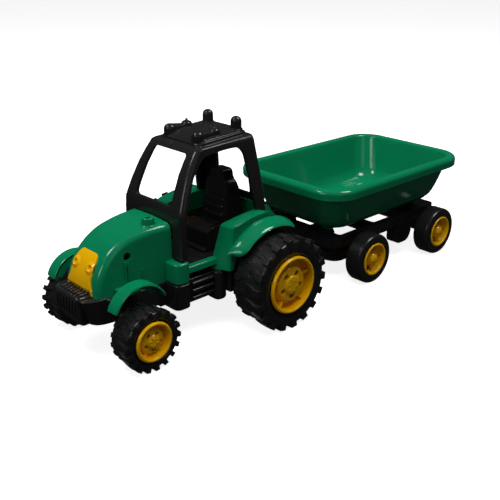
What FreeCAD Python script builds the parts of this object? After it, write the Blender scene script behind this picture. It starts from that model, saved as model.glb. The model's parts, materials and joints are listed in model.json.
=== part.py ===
import FreeCAD, Part
import math
import os

V = FreeCAD.Vector

# Toy tractor with its four-wheeled tipping trailer.
# +X is the driving direction, +Y the left side, +Z up, z = 0 the ground.
# x = 0 is half way between the grille and the back of the trailer tub.  Millimetres.

TOTAL_LENGTH = 500.0
FRONT_X = TOTAL_LENGTH / 2
BACK_X = -TOTAL_LENGTH / 2

# ---- wheels: axle place, outer radius, tyre faces, rim radius, outer end of the hub ----
REAR_WHEEL = dict(x=64.0, radius=46.3, inner=58.5, outer=95.5, rim=28.3, face=97.2, axle=2.5)
FRONT_WHEEL = dict(x=206.5, radius=29.2, inner=42.0, outer=69.9, rim=18.6, face=71.2, axle=2.5)
TRAILER_WHEEL = dict(radius=27.4, inner=63.0, outer=82.6, rim=18.2, face=83.4, axle=2.0)
TRAILER_FRONT_X = -77.5
TRAILER_REAR_X = -200.5
RUNNING_FIT = 0.08
AXLE_SHORT = 7.5
TREAD_DEPTH = 3.2
REAR_LUGS = 18
FRONT_LUGS = 18

# ---- tractor body ----
HOOD_REAR_X = 155.0
HOOD_NOSE_X = 233.0
HOOD_BOTTOM_Z = 59.0
HOOD_REAR_Z = 112.8
HOOD_REAR_HALF = 29.5
HOOD_NOSE_HALF = 24.5
HOOD_EDGE_R = 5.0
SKIN = 2.2
PANEL_THICKNESS = 1.2
FLOOR_Z = 66.0
BELLY_Z = 35.0
CHASSIS_TOP_Z = 58.6
SOCKET_X = (146.5, 162.5)
SOCKET_Y = (28.0, 47.5)
SOCKET_Z = (59.0, 79.0)
QUARTER_X = (38.0, 106.0)
QUARTER_Y = (40.0, 57.0)
QUARTER_TOP_FRONT = 104.0
QUARTER_TOP_REAR = 109.0
QUARTER_FOOT_Z = 61.0
MUDGUARD_OUTER_Y = 72.0
MUDGUARD_R = 53.0
FENDER_Y = (43.0, 56.8)
FENDER_R = 28.6
FENDER_CENTRE_Z = 50.0
STUB_X, STUB_Y, STUB_R, STUB_BORE_R, STUB_TOP_Z = 170.0, 17.0, 6.0, 2.2, 119.0
LOADER_HOLE_X, LOADER_HOLE_Z, LOADER_HOLE_R = 199.5, 92.5, 3.6

# ---- cab ----
PILLAR_X = (148.0, 154.0)
PILLAR_FOOT_Z = 66.5
PILLAR_HALF = 43.8
KNEE_Z = 122.0
BROW_X, BROW_Z = 125.6, 174.7
CAB_BACK_TOP_X, CAB_BACK_X = 56.0, 49.0
ROOF_HALF = 35.0
ROOF_CREST_Z = 182.0
ROOF_PANEL_X, ROOF_PANEL_HALF = (59.0, 119.0), 28.4
BEACON_X, BEACON_Y, BEACON_R, BEACON_TOP_Z = 67.5, 20.5, 5.0, 195.5
LAMP_R, LAMP_LENGTH, LAMP_TIP_X, LAMP_Z = 4.9, 20.0, 118.6, 184.0
KNOB_X = 96.2

# ---- trailer ----
RIM_HALF = 77.6
LIP_TOP_Z, LIP_Z, LIP_WIDTH = 112.5, 101.5, 10.5
TUB_FLOOR_Z = 58.5
TUB_FLOOR_HALF = 56.0
TUB_FLOOR_X = (-226.0, -40.0)
TUB_RIM_X = (BACK_X, -13.0)
TUB_WALL = 2.5
TUB_WALL_INSET = 8.0
RAIL_TOP_Z, RAIL_BOTTOM_Z = 52.0, 40.0
RAIL_HALF, RAIL_WIDTH = 57.0, 7.0
FRAME_X = (-223.0, -41.0)
FRAME_BAYS = ((-106.0, -56.0), (-168.0, -114.0))
HINGE_X, HINGE_Z, HINGE_R = -217.0, 53.5, 1.5
BEAM_Z = (20.0, 35.0)
HITCH_X, HITCH_R, TONGUE_TOP_Z = 1.5, 3.4, 32.0

# ---- seat and small parts ----
SEAT_X = (52.0, 102.0)
SEAT_HALF = 17.0
SCREW_R, SCREW_HEAD_R = 1.5, 3.0
SCREW_PLACES = ((172.0, 23.5), (212.0, 20.8), (92.0, 45.5))


# ---------------------------------------------------------------- solid helpers
def block(x, y, z):
    """Box between two x values, two y values and two z values."""
    return Part.makeBox(x[1] - x[0], y[1] - y[0], z[1] - z[0], V(x[0], y[0], z[0]))


def rounded_block(x, y, z, radius, axis="z"):
    """Box whose four edges along one axis are rounded."""
    shape = block(x, y, z)
    along = {"x": V(1, 0, 0), "y": V(0, 1, 0), "z": V(0, 0, 1)}[axis]
    return shape.makeFillet(radius, edges_along(shape, along))


def edges_along(shape, direction):
    straight = [e for e in shape.Edges if e.Curve.TypeId == "Part::GeomLine"]
    return [e for e in straight if abs(abs(e.tangentAt(e.FirstParameter).dot(direction)) - 1) < 1e-4]


def rod_y(x, z, radius, y0, y1):
    """Cylinder along Y."""
    return Part.makeCylinder(radius, y1 - y0, V(x, y0, z), V(0, 1, 0))


def rod_z(x, y, radius, z0, z1):
    return Part.makeCylinder(radius, z1 - z0, V(x, y, z0), V(0, 0, 1))


def side_plate(points, y0, y1):
    """Polygon drawn in the X-Z plane, made solid from y0 to y1."""
    face = Part.Face(Part.makePolygon([V(x, y0, z) for x, z in points + points[:1]]))
    return face.extrude(V(0, y1 - y0, 0))


def front_plate(points, x0, x1):
    """Polygon drawn in the Y-Z plane, made solid from x0 to x1."""
    face = Part.Face(Part.makePolygon([V(x0, y, z) for y, z in points + points[:1]]))
    return face.extrude(V(x1 - x0, 0, 0))


def plan_plate(points, z0, z1):
    """Polygon drawn in the X-Y plane, made solid from z0 to z1."""
    face = Part.Face(Part.makePolygon([V(x, y, z0) for x, y in points + points[:1]]))
    return face.extrude(V(0, 0, z1 - z0))


def turned(profile, x, z):
    """Profile of (y, radius) points turned about the Y axis through (x, z)."""
    face = Part.Face(Part.makePolygon([V(x, y, z + r) for y, r in profile + profile[:1]]))
    return face.revolve(V(x, 0, z), V(0, 1, 0), 360)


def arch(x, z, outer, thickness, y0, y1, start, end):
    """Curved band about a Y axis, between two angles measured up from +X."""
    ring = Part.makeCylinder(outer, y1 - y0, V(x, y0, z), V(0, 1, 0))
    ring = ring.cut(Part.makeCylinder(outer - thickness, y1 - y0, V(x, y0, z), V(0, 1, 0)))
    reach = 2 * outer
    steps = 6
    angles = [math.radians(start + (end - start) * i / steps) for i in range(steps + 1)]
    fan = [(x, z)] + [(x + reach * math.cos(a), z + reach * math.sin(a)) for a in angles]
    return ring.common(side_plate(fan, y0, y1))


def mirrored(shape):
    return shape.mirror(V(0, 0, 0), V(0, 1, 0))


def both_sides(shape):
    return [shape, mirrored(shape)]


def join(shapes):
    result = shapes[0].multiFuse(shapes[1:]) if len(shapes) > 1 else shapes[0]
    return result.removeSplitter()


def cut_all(shape, tools):
    return shape.cut(tools)


# ---------------------------------------------------------------- wheels
def lug(wheel, count, inner_y, outer_y, sweep):
    """One tread bar: it starts at inner_y and ends at outer_y, sweep degrees further round."""
    base = wheel["radius"] - TREAD_DEPTH - 1.0
    top = wheel["radius"]
    width = math.pi * top / count * 0.55
    half = width / 2
    lean = math.tan(math.radians(sweep)) * top
    foot = [V(-half, inner_y, base), V(half, inner_y, base),
            V(half + lean, outer_y, base), V(lean - half, outer_y, base)]
    bar = Part.Face(Part.makePolygon(foot + foot[:1])).extrude(V(0, 0, top - base + 2))
    tip = Part.makeCylinder(top, outer_y - inner_y, V(0, inner_y, 0), V(0, 1, 0))
    return bar.common(tip)


def tractor_tyre(wheel, count):
    """Bar-tread tyre: a rounded carcass with two rows of leaning bars."""
    base = wheel["radius"] - TREAD_DEPTH
    y0, y1, rim = wheel["inner"], wheel["outer"], wheel["rim"]
    shoulder = (y1 - y0) * 0.16
    carcass = turned([(y0, rim - 1.5), (y0, base - shoulder), (y0 + shoulder, base), (y1 - shoulder, base),
                      (y1, base - shoulder), (y1, rim - 1.5)], 0, 0)
    middle = (y0 + y1) / 2
    outer_bar = lug(wheel, count, middle - 1.5, y1 - 0.6, 7)
    inner_bar = lug(wheel, count, 2 * middle - (y1 - 0.6), middle + 1.5, -7)
    bars = []
    for i in range(count):
        for bar, shift in ((outer_bar, 0.0), (inner_bar, 0.5)):
            turned_bar = bar.copy()
            turned_bar.rotate(V(0, 0, 0), V(0, 1, 0), 360.0 * (i + shift) / count)
            bars.append(turned_bar)
    tyre = carcass.multiFuse(bars).removeSplitter()
    tyre.translate(V(wheel["x"], 0, wheel["radius"]))
    return tyre


def trailer_tyre(x):
    """Smooth tyre with large round shoulders."""
    w = TRAILER_WHEEL
    y0, y1, r = w["inner"], w["outer"], w["radius"]
    carcass = turned([(y0, w["rim"] - 1.2), (y0, r), (y1, r), (y1, w["rim"] - 1.2)], x, r)
    circles = [e for e in carcass.Edges if e.Curve.TypeId == "Part::GeomCircle"]
    outer_edges = [e for e in circles if abs(e.Curve.Radius - r) < 0.01]
    return carcass.makeFillet(4.0, outer_edges)


def tractor_rim(wheel):
    """Dished rim: bead seat, outer flange, five gussets, a raised disc and a hub boss."""
    x, z = wheel["x"], wheel["radius"]
    y0, y1, rim, face = wheel["inner"], wheel["outer"], wheel["rim"], wheel["face"]
    seat = rim - 1.5
    dish = y1 - 11.0
    disc_r = rim * 0.58
    hub_r = rim * 0.30
    profile = [(y0 + 2, wheel["axle"]), (y0 + 2, seat), (y1 + 0.1, seat), (y1 + 0.1, rim), (face, rim - 0.8),
               (face, seat - 1.2), (dish, seat - 4.0), (dish, disc_r + 0.8), (dish + 3.5, disc_r),
               (dish + 3.5, hub_r + 0.4), (dish + 5.5, hub_r), (dish + 5.5, 0),
               (y1 - AXLE_SHORT, 0), (y1 - AXLE_SHORT, wheel["axle"])]
    body = turned(profile, x, z)
    body = body.cut(Part.makeCylinder(disc_r - 1.5, dish - y0 - 4.5, V(x, y0 + 2, z), V(0, 1, 0)))
    gussets = []
    windows = []
    for i in range(5):
        angle = 72.0 * i + 18.0
        gusset = block((disc_r - 1, seat - 1.5), (dish, dish + 4.5), (-1.3, 1.3))
        window = block((disc_r * 0.60, disc_r * 0.82), (dish - 3, dish + 6), (-disc_r * 0.16, disc_r * 0.16))
        for piece, extra, group in ((gusset, 0.0, gussets), (window, 36.0, windows)):
            piece.rotate(V(0, 0, 0), V(0, 1, 0), angle + extra)
            piece.translate(V(x, 0, z))
            group.append(piece)
    hub_tube = rod_y(x, z, hub_r, y0 + 2, dish - 2).cut(rod_y(x, z, wheel["axle"], y0, dish))
    return join([body] + gussets + [hub_tube]).cut(windows)


def trailer_rim(x):
    """Small rim with a domed hub and four openings."""
    w = TRAILER_WHEEL
    z, y0, y1, rim = w["radius"], w["inner"], w["outer"], w["rim"]
    seat = rim - 1.2
    dish = y1 - 6.5
    profile = [(y0 + 2, w["axle"]), (y0 + 2, seat), (y1 + 0.1, seat), (y1 + 0.1, rim), (y1 + 0.8, rim - 0.8),
               (y1 + 0.8, seat - 1.0), (dish, seat - 2.5), (dish, 8.0), (dish + 4, 6.2), (dish + 6, 3.6),
               (dish + 6.6, 0), (y1 - AXLE_SHORT, 0), (y1 - AXLE_SHORT, w["axle"])]
    body = turned(profile, x, z)
    body = body.cut(Part.makeCylinder(seat - 2.5, dish - y0 - 4.5, V(x, y0 + 2, z), V(0, 1, 0)))
    windows = []
    for i in range(4):
        window = block((9.2, seat - 3.2), (dish - 4, dish + 3), (-3.6, 3.6))
        window.rotate(V(0, 0, 0), V(0, 1, 0), 90.0 * i + 45.0)
        window.translate(V(x, 0, z))
        windows.append(window)
    hub_tube = rod_y(x, z, 6.0, y0 + 2, dish - 2).cut(rod_y(x, z, w["axle"], y0, dish))
    return join([body, hub_tube]).cut(windows)


def axle(x, wheel):
    """Plain steel rod between the two hubs."""
    reach = wheel["outer"] - AXLE_SHORT
    return rod_y(x, wheel["radius"], wheel["axle"], -reach, reach)


# ---------------------------------------------------------------- tractor: green body
def hood_block(inset):
    """Hood as a solid block, with every outer face moved inwards by inset."""
    crown = 194.0
    brow = V(219.5 - 0.75 * inset, -40, 94.0 - 0.65 * inset)
    nose = Part.Arc(V(HOOD_NOSE_X - inset, -40, HOOD_BOTTOM_Z), brow, V(crown, -40, 109.3 - inset)).toShape()
    back = Part.Arc(V(crown, -40, 109.3 - inset), V(175.0, -40, 112.4 - inset),
                    V(HOOD_REAR_X + inset, -40, HOOD_REAR_Z - inset)).toShape()
    foot = [Part.makeLine(V(HOOD_REAR_X + inset, -40, HOOD_REAR_Z - inset),
                          V(HOOD_REAR_X + inset, -40, HOOD_BOTTOM_Z)),
            Part.makeLine(V(HOOD_REAR_X + inset, -40, HOOD_BOTTOM_Z),
                          V(HOOD_NOSE_X - inset, -40, HOOD_BOTTOM_Z))]
    side = Part.Face(Part.Wire(Part.__sortEdges__([nose, back] + foot))).extrude(V(0, 80, 0))
    rear, front, corner = HOOD_REAR_HALF - inset, HOOD_NOSE_HALF - inset, 7.0
    tip = HOOD_NOSE_X + 1 - inset
    plan = [(HOOD_REAR_X, -rear), (tip - corner, -front), (tip, corner - front),
            (tip, front - corner), (tip - corner, front), (HOOD_REAR_X, rear)]
    return side.common(plan_plate(plan, HOOD_BOTTOM_Z, HOOD_REAR_Z + 5))


def hood():
    """Hollow hood with an exhaust stub and a cross hole for a loader pin."""
    outer = hood_block(0)
    upper = [e for e in outer.Edges if min(v.Z for v in e.Vertexes) > HOOD_BOTTOM_Z + 5]
    long_edges = [e for e in upper if abs(abs(e.CenterOfMass.y) - HOOD_NOSE_HALF) < 6
                  and abs(e.Vertexes[0].X - e.Vertexes[-1].X) > 5]
    rounded = outer.makeFillet(HOOD_EDGE_R, long_edges)
    stub = rod_z(STUB_X, STUB_Y, STUB_R, HOOD_REAR_Z - 5, STUB_TOP_Z)
    shell = join([rounded, stub]).cut(hood_block(SKIN))
    return cut_all(shell, [rod_z(STUB_X, STUB_Y, STUB_BORE_R, STUB_TOP_Z - 6, STUB_TOP_Z + 1),
                           rod_y(LOADER_HOLE_X, LOADER_HOLE_Z, LOADER_HOLE_R, -40, 40)])


def fender():
    """Arched mudguard over a front wheel, its inner web and the bridge back to the hood."""
    x, z, (y0, y1) = FRONT_WHEEL["x"] + 1.0, FENDER_CENTRE_Z, FENDER_Y
    band = arch(x, z, FENDER_R, SKIN, y0, y1, 18, 155)
    web = arch(x, z, FENDER_R, 16.0, y0, y0 + SKIN, 18, 155)
    web = web.cut(rod_y(FRONT_WHEEL["x"], FRONT_WHEEL["radius"], FRONT_WHEEL["radius"] + 3, 0, 80))
    bridge = block((x - 18, x + 14), (HOOD_NOSE_HALF + 0.4, y0 + 1), (64, 66.5))
    return join([band, web, bridge])


def pillar_socket():
    """Rounded post that takes the foot of a cab pillar."""
    post = rounded_block(SOCKET_X, SOCKET_Y, SOCKET_Z, 4.0)
    top_rim = [e for e in post.Edges if e.CenterOfMass.z > SOCKET_Z[1] - 0.1]
    return post.makeFillet(1.2, top_rim)


def sill():
    """Step sill between the pillar socket and the rear quarter."""
    return block((QUARTER_X[1] - 1, SOCKET_X[0] + 2), (38.0, 45.5), (FLOOR_Z + 0.4, 73.0))


def quarter():
    """Hollow side box between the cab floor and a rear wheel."""
    (x0, x1), (y0, y1) = QUARTER_X, QUARTER_Y
    rear_low = 92.0
    outline = [(x0 - 5, rear_low), (x0 + 16, QUARTER_TOP_REAR), (x1 - 2, QUARTER_TOP_FRONT), (x1 + 2, 90),
               (x1 + 8, 61), (x0 + 40, 61), (x0 + 10, 84)]
    box = side_plate(outline, y0, y1)
    slope = [(y0 - 1, 120), (y0 - 1, 55), (y1 + 1, 55), (y1 + 1, 120)]
    box = box.common(front_plate(slope, x0 - 10, x1 + 12))
    trim = plan_plate([(x1 - 4, y1 + 1), (x1 + 14, y1 + 1), (x1 + 14, y0 + 2), (x1 + 7, y0 + 2)], 50, 120)
    box = box.cut(trim)
    inner = [(x0 - 2, rear_low - 1), (x0 + 17, QUARTER_TOP_REAR - SKIN), (x1 - 6, QUARTER_TOP_FRONT - SKIN),
             (x1 - 4, 62), (x1 - 4, 55), (x0 + 42, 55), (x0 + 12, 82)]
    return box.cut(side_plate(inner, y0 + SKIN, y1 - SKIN))


def rear_mudguard():
    """Curved wing over a rear wheel, higher at the body and drooping outwards."""
    w = REAR_WHEEL
    return arch(w["x"], w["radius"], MUDGUARD_R, 2.4, QUARTER_Y[1] - 1.5, MUDGUARD_OUTER_Y, 40, 118)


def rear_deck():
    """Wall behind the seat and the sloping cover behind it."""
    wall = block((46.0, 46.0 + SKIN), (-QUARTER_Y[0] - 1, QUARTER_Y[0] + 1), (FLOOR_Z + 0.4, 107.5))
    back = QUARTER_X[0] - 3
    cover = side_plate([(back, 93.5), (46, 105.5), (48, 107.5), (44, 107.5), (back, 96)],
                       -QUARTER_Y[0] - 1, QUARTER_Y[0] + 1)
    return wall.fuse(cover)


def screw_bosses():
    """Plain posts inside the shell that the body screws bite into."""
    posts = []
    for x, y in SCREW_PLACES:
        post = rod_z(x, y, 3.6, HOOD_BOTTOM_Z if x > HOOD_REAR_X else QUARTER_FOOT_Z, 76.0)
        posts += both_sides(post)
    return posts


def screw_holes(z0, z1):
    holes = []
    for x, y in SCREW_PLACES:
        holes += both_sides(rod_z(x, y, SCREW_R, z0, z1))
    return holes


def body_shell():
    """All the green mouldings of the tractor in one piece."""
    pieces = [hood(), rear_deck()] + screw_bosses()
    for part in (fender, pillar_socket, sill, quarter, rear_mudguard):
        pieces += both_sides(part())
    cowl_half = SOCKET_Y[0] + 2
    cowl = block((HOOD_REAR_X - 6, HOOD_REAR_X + SKIN), (-cowl_half, cowl_half), (FLOOR_Z + 0.4, 73.0))
    shell = join(pieces + [cowl])
    return shell.cut([cab_frame()] + screw_holes(55, 72))


def headlight_panel():
    """Yellow nose panel, wider at the bottom, let into the hood skin."""
    skin = hood_block(-PANEL_THICKNESS).cut(hood_block(0.0))
    waist = [(-19.0, 62.5), (-16.5, 74), (-15.5, 84), (-12, 95), (12, 95), (15.5, 84), (16.5, 74), (19.0, 62.5)]
    panel = skin.common(front_plate(waist, 212.0, HOOD_NOSE_X + 3))
    lamps = [Part.makeSphere(3.2, V(227.5, y, 86.0)) for y in (-12.1, 12.1)]
    return panel.cut(lamps)


# ---------------------------------------------------------------- tractor: cab and seat
def cab_outline():
    """Outer form of the cab, from the pillar feet to the crowned roof."""
    roof = Part.Arc(V(BROW_X, -60, BROW_Z), V(92, -60, ROOF_CREST_Z), V(CAB_BACK_TOP_X, -60, 177.0)).toShape()
    outline = [(CAB_BACK_TOP_X, 177.0), (CAB_BACK_X, 107), (CAB_BACK_X, PILLAR_FOOT_Z),
               (PILLAR_X[1], PILLAR_FOOT_Z), (PILLAR_X[1], KNEE_Z), (140, 154), (BROW_X, BROW_Z)]
    legs = Part.makePolygon([V(x, -60, z) for x, z in outline])
    side = Part.Face(Part.Wire(Part.__sortEdges__([roof] + legs.Edges))).extrude(V(0, 120, 0))
    eave = 176
    crown = Part.Arc(V(20, ROOF_HALF, eave), V(20, 0, ROOF_CREST_Z + 1), V(20, -ROOF_HALF, eave)).toShape()
    section = [(-ROOF_HALF, eave), (-PILLAR_HALF, KNEE_Z), (-PILLAR_HALF, PILLAR_FOOT_Z),
               (PILLAR_HALF, PILLAR_FOOT_Z), (PILLAR_HALF, KNEE_Z), (ROOF_HALF, eave)]
    walls = Part.makePolygon([V(20, y, z) for y, z in section])
    front = Part.Face(Part.Wire(Part.__sortEdges__([crown] + walls.Edges))).extrude(V(160, 0, 0))
    return side.common(front)


def cab_frame():
    """Four pillars, screen surround, rear bar and roof, in one black moulding."""
    wall = 6.0
    inside = side_plate([(PILLAR_X[0], 50), (PILLAR_X[0], 121), (134.5, 152), (121, 170), (92, 177), (61, 172),
                         (54, 107), (54, 50)], -60, 60)
    half = PILLAR_HALF - wall
    inside = inside.common(front_plate([(-half, 50), (-half, KNEE_Z), (-30, 173),
                                        (30, 173), (half, KNEE_Z), (half, 50)], 20, 180))
    door = side_plate([(PILLAR_X[0], 50), (PILLAR_X[0], 121), (134.5, 152), (122.5, 166), (108, 169), (74, 168),
                       (66, 160), (63, 107), (63, 50)], -60, 60)
    screen = front_plate([(-26.8, 126.5), (-23.2, 170), (23.2, 170), (26.8, 126.5)], 110, 170)
    rear_window = front_plate([(-24, 117), (-21, 168), (21, 168), (24, 117)], 30, 80)
    under_hood = front_plate([(-30.2, 50), (-30.2, 107), (30.2, 107), (30.2, 50)], 110, 170)
    under_deck = front_plate([(-60, 50), (-60, 105), (60, 105), (60, 50)], 30, 70)
    low_bar = front_plate([(-36, 50), (-36, 110), (36, 110), (36, 50)], 30, 70)
    return cab_outline().cut([inside, door, screen, rear_window, under_hood, under_deck, low_bar])


def domed_post(radius, length):
    """Round post standing on the origin, with a domed top."""
    dome, steps = 0.9 * radius, 4
    outline = [V(0, 0, 0), V(radius, 0, 0)]
    for i in range(steps):
        angle = math.pi / 2 * i / steps
        outline.append(V(radius * math.cos(angle), 0, length - dome + dome * math.sin(angle)))
    outline.append(V(0, 0, length))
    return Part.Face(Part.makePolygon(outline + outline[:1])).revolve(V(0, 0, 0), V(0, 0, 1), 360)


def roof_lamp(y):
    """Work lamp lying along the roof, its domed end forwards."""
    lamp = domed_post(LAMP_R, LAMP_LENGTH)
    lamp.rotate(V(0, 0, 0), V(0, 1, 0), 90)
    lamp.translate(V(LAMP_TIP_X - LAMP_LENGTH, y, LAMP_Z))
    return lamp


def roof_panel():
    """Raised roof panel with two beacons, two work lamps and two round aerial knobs."""
    (x0, x1), half = ROOF_PANEL_X, ROOF_PANEL_HALF
    foot_z, side_z = 170.0, 179.0
    top = Part.Arc(V(x1, -half, 178.0), V(92, -half, 184.5), V(x0, -half, 183.0)).toShape()
    foot = Part.makePolygon([V(x, -half, z) for x, z in ((x0, 183.0), (x0, foot_z), (x1, foot_z), (x1, 178.0))])
    side = Part.Face(Part.Wire(Part.__sortEdges__([top] + foot.Edges))).extrude(V(0, 2 * half, 0))
    crown = Part.Arc(V(x0, half, side_z), V(x0, 0, 185.0), V(x0, -half, side_z)).toShape()
    section = [(-half, side_z), (-half, foot_z), (half, foot_z), (half, side_z)]
    base = Part.makePolygon([V(x0, y, z) for y, z in section])
    front = Part.Face(Part.Wire(Part.__sortEdges__([crown] + base.Edges))).extrude(V(x1 - x0, 0, 0))
    pieces = [side.common(front)]
    for y in (-BEACON_Y, BEACON_Y):
        beacon = domed_post(BEACON_R, BEACON_TOP_Z - 178)
        beacon.translate(V(BEACON_X, y, 178))
        pieces += [beacon, roof_lamp(y), rod_z(KNOB_X, y, 4.6, 178, 186.0), rod_z(KNOB_X, y, 1.2, 186, 188.0)]
    return join(pieces).cut(cab_outline())


def seat():
    """Driver's seat: cushion, thick backrest and a narrower head rest."""
    x0, x1 = SEAT_X
    side = side_plate([(x0, FLOOR_Z), (x0 + 1.0, 100), (x0 + 9, 133), (x0 + 12, 141), (x0 + 20, 141),
                       (x0 + 24.5, 128), (x0 + 24.5, 93), (x1 - 3, 90), (x1, 86), (x1 - 1, FLOOR_Z)],
                      -SEAT_HALF, SEAT_HALF)
    front = front_plate([(-SEAT_HALF, FLOOR_Z), (-SEAT_HALF, 96), (-15.5, 126), (-12, 133), (-9.5, 141),
                         (9.5, 141), (12, 133), (15.5, 126), (SEAT_HALF, 96), (SEAT_HALF, FLOOR_Z)], x0, x1)
    return side.common(front)


# ---------------------------------------------------------------- tractor: black chassis
def chassis_solid(wall):
    """Chassis outer form, or its inner cavity when wall is more than zero."""
    hollow = wall > 0
    top = CHASSIS_TOP_Z - (wall + 0.3 if hollow else 0)
    deck = top if hollow else CHASSIS_TOP_Z + 2
    nose = plan_plate([(163, wall - 30), (222, wall - 30), (238, wall - 27), (245 - wall, wall - 21),
                       (245 - wall, 21 - wall), (238, 27 - wall), (222, 30 - wall), (163, 30 - wall)],
                      BELLY_Z, top)
    boxes = [((SOCKET_X[0] + wall, SOCKET_X[1] + 0.5 - wall), 47.8, BELLY_Z - 1, top),
             ((90, SOCKET_X[0] + 2 * wall + 1), 44, BELLY_Z, deck),
             ((44 + wall, 107), 44, BELLY_Z - 1 if hollow else BELLY_Z + 3, deck),
             ((44 + wall, 84 - wall), 53, BELLY_Z - 1, top),
             ((150, 170), 30, BELLY_Z, top)]
    blocks = [block(x, (wall - half, half - wall), (z0, z1)) for x, half, z0, z1 in boxes]
    return nose.fuse(blocks).removeSplitter()


def grille_block():
    """Front block with seven upright bars that wrap over its top edge."""
    body = rounded_block((230, FRONT_X - 1.2), (-18, 18), (42, 66), 3.0, "z")
    bars = []
    for i in range(7):
        y = (i - 3) * 4.6
        bar = block((236, FRONT_X), (y - 1.3, y + 1.3), (46, 67.2))
        front_top = [e for e in bar.Edges if e.CenterOfMass.x > FRONT_X - 0.1 and e.CenterOfMass.z > 67]
        bars.append(bar.makeFillet(2.5, front_top))
    return [body] + bars


def step_panel():
    """Recessed side panel with three level ribs and its rear end post."""
    ribs = [rounded_block((112, 147), (43, 45.8), (z - 1.3, z + 1.3), 0.9, "x") for z in (40.5, 48.0, 55.5)]
    post = rounded_block((106.5, 117.0), (36.0, 48.6), (31.0, 60.6), 3.5)
    return ribs + [post]


def chassis():
    """Black underbody: grille, bumper wings, posts, steps, axle housings, floor and hitch tongue."""
    tray = chassis_solid(0).cut(chassis_solid(2.6))
    floor = block((48.6, 147), (-37.4, 37.4), (58.0, FLOOR_Z))
    floor = floor.cut(block((51, 144.5), (-35, 35), (50, FLOOR_Z - 2.4)))
    tongue = rounded_block((-6, 46.6), (-11, 11), (27.0, TONGUE_TOP_Z), 5.0)
    web = block((30, 46.6), (-11, 11), (27.0, 50.0))
    peg = [rod_z(HITCH_X, 0, HITCH_R, TONGUE_TOP_Z - 1, 42.0), rod_z(HITCH_X, 0, HITCH_R + 1.2, 39.0, 42.0)]
    towers = []
    for x, y in SCREW_PLACES:
        towers += both_sides(rod_z(x, y, 4.6, 50.0, 58.6).cut(rod_z(x, y, SCREW_HEAD_R + 0.1, 49.0, 55.0)))
    shell = join([tray, floor, tongue, web] + peg + towers + grille_block())
    for panel in step_panel():
        shell = shell.fuse(both_sides(panel))
    bores = [rod_y(w["x"], w["radius"], w["axle"] + RUNNING_FIT, -60, 60) for w in (REAR_WHEEL, FRONT_WHEEL)]
    bearings = []
    for w, reach in ((FRONT_WHEEL, 30.0), (REAR_WHEEL, 53.0)):
        bearings += both_sides(rod_y(w["x"], w["radius"], w["axle"] + 2.6, reach - 12, reach))
        bearings += both_sides(block((w["x"] - 4, w["x"] + 4), (reach - 12, reach), (w["radius"], 57)))
    shell = join([shell] + bearings)
    heads = []
    for x, y in SCREW_PLACES:
        heads += both_sides(rod_z(x, y, SCREW_HEAD_R + 0.1, 30.0, 55.0))
    sockets = both_sides(block((SOCKET_X[0] - 0.3, SOCKET_X[1] + 1), (SOCKET_Y[0] - 0.5, SOCKET_Y[1] + 1),
                               (SOCKET_Z[0] - 0.3, SOCKET_Z[1])))
    return shell.cut(bores + heads + screw_holes(50, 65) + sockets + [hood_block(-PANEL_THICKNESS - 0.3)])


def body_screws():
    """Six self-tapping screws, heads down, that hold the green shell on the chassis."""
    screws = []
    for x, y in SCREW_PLACES:
        screw = rod_z(x, y, SCREW_HEAD_R, 53.0, 55.0).fuse(rod_z(x, y, SCREW_R, 54.5, 71.0))
        slot = block((x - 2, x + 2), (y - 0.4, y + 0.4), (52.9, 53.8))
        cross = block((x - 0.4, x + 0.4), (y - 2, y + 2), (52.9, 53.8))
        screws += both_sides(screw.cut([slot, cross]))
    return Part.makeCompound(screws)


# ---------------------------------------------------------------- trailer
def rounded_frame(x, half, radius, z):
    """Rounded rectangle wire in plan, at height z."""
    corners = [V(x[0], -half, z), V(x[1], -half, z), V(x[1], half, z), V(x[0], half, z)]
    wire = []
    for i in range(4):
        before, here, after = corners[i - 1], corners[i], corners[(i + 1) % 4]
        a = here + (before - here).normalize() * radius
        b = here + (after - here).normalize() * radius
        bulge = ((a + b) * 0.5 - here).normalize() * (radius * (math.sqrt(2) - 1))
        wire.append(Part.Arc(a, here + bulge, b).toShape())
        following = corners[(i + 1) % 4]
        c = following + (here - following).normalize() * radius
        wire.append(Part.makeLine(b, c))
    return Part.Wire(Part.__sortEdges__(wire))


def tub_solid(inset, z0, z1):
    """Flared rounded tub, inset from the outer skin by a wall thickness."""
    low_x = (TUB_FLOOR_X[0] + inset, TUB_FLOOR_X[1] - inset)
    drawn_in = TUB_WALL_INSET + inset
    high_x = (TUB_RIM_X[0] + drawn_in, TUB_RIM_X[1] - drawn_in)
    low = rounded_frame(low_x, TUB_FLOOR_HALF - inset, 22.0 - inset, z0)
    high = rounded_frame(high_x, RIM_HALF - drawn_in, 22.0 - inset, z1)
    return Part.makeLoft([low, high], True)


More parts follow.
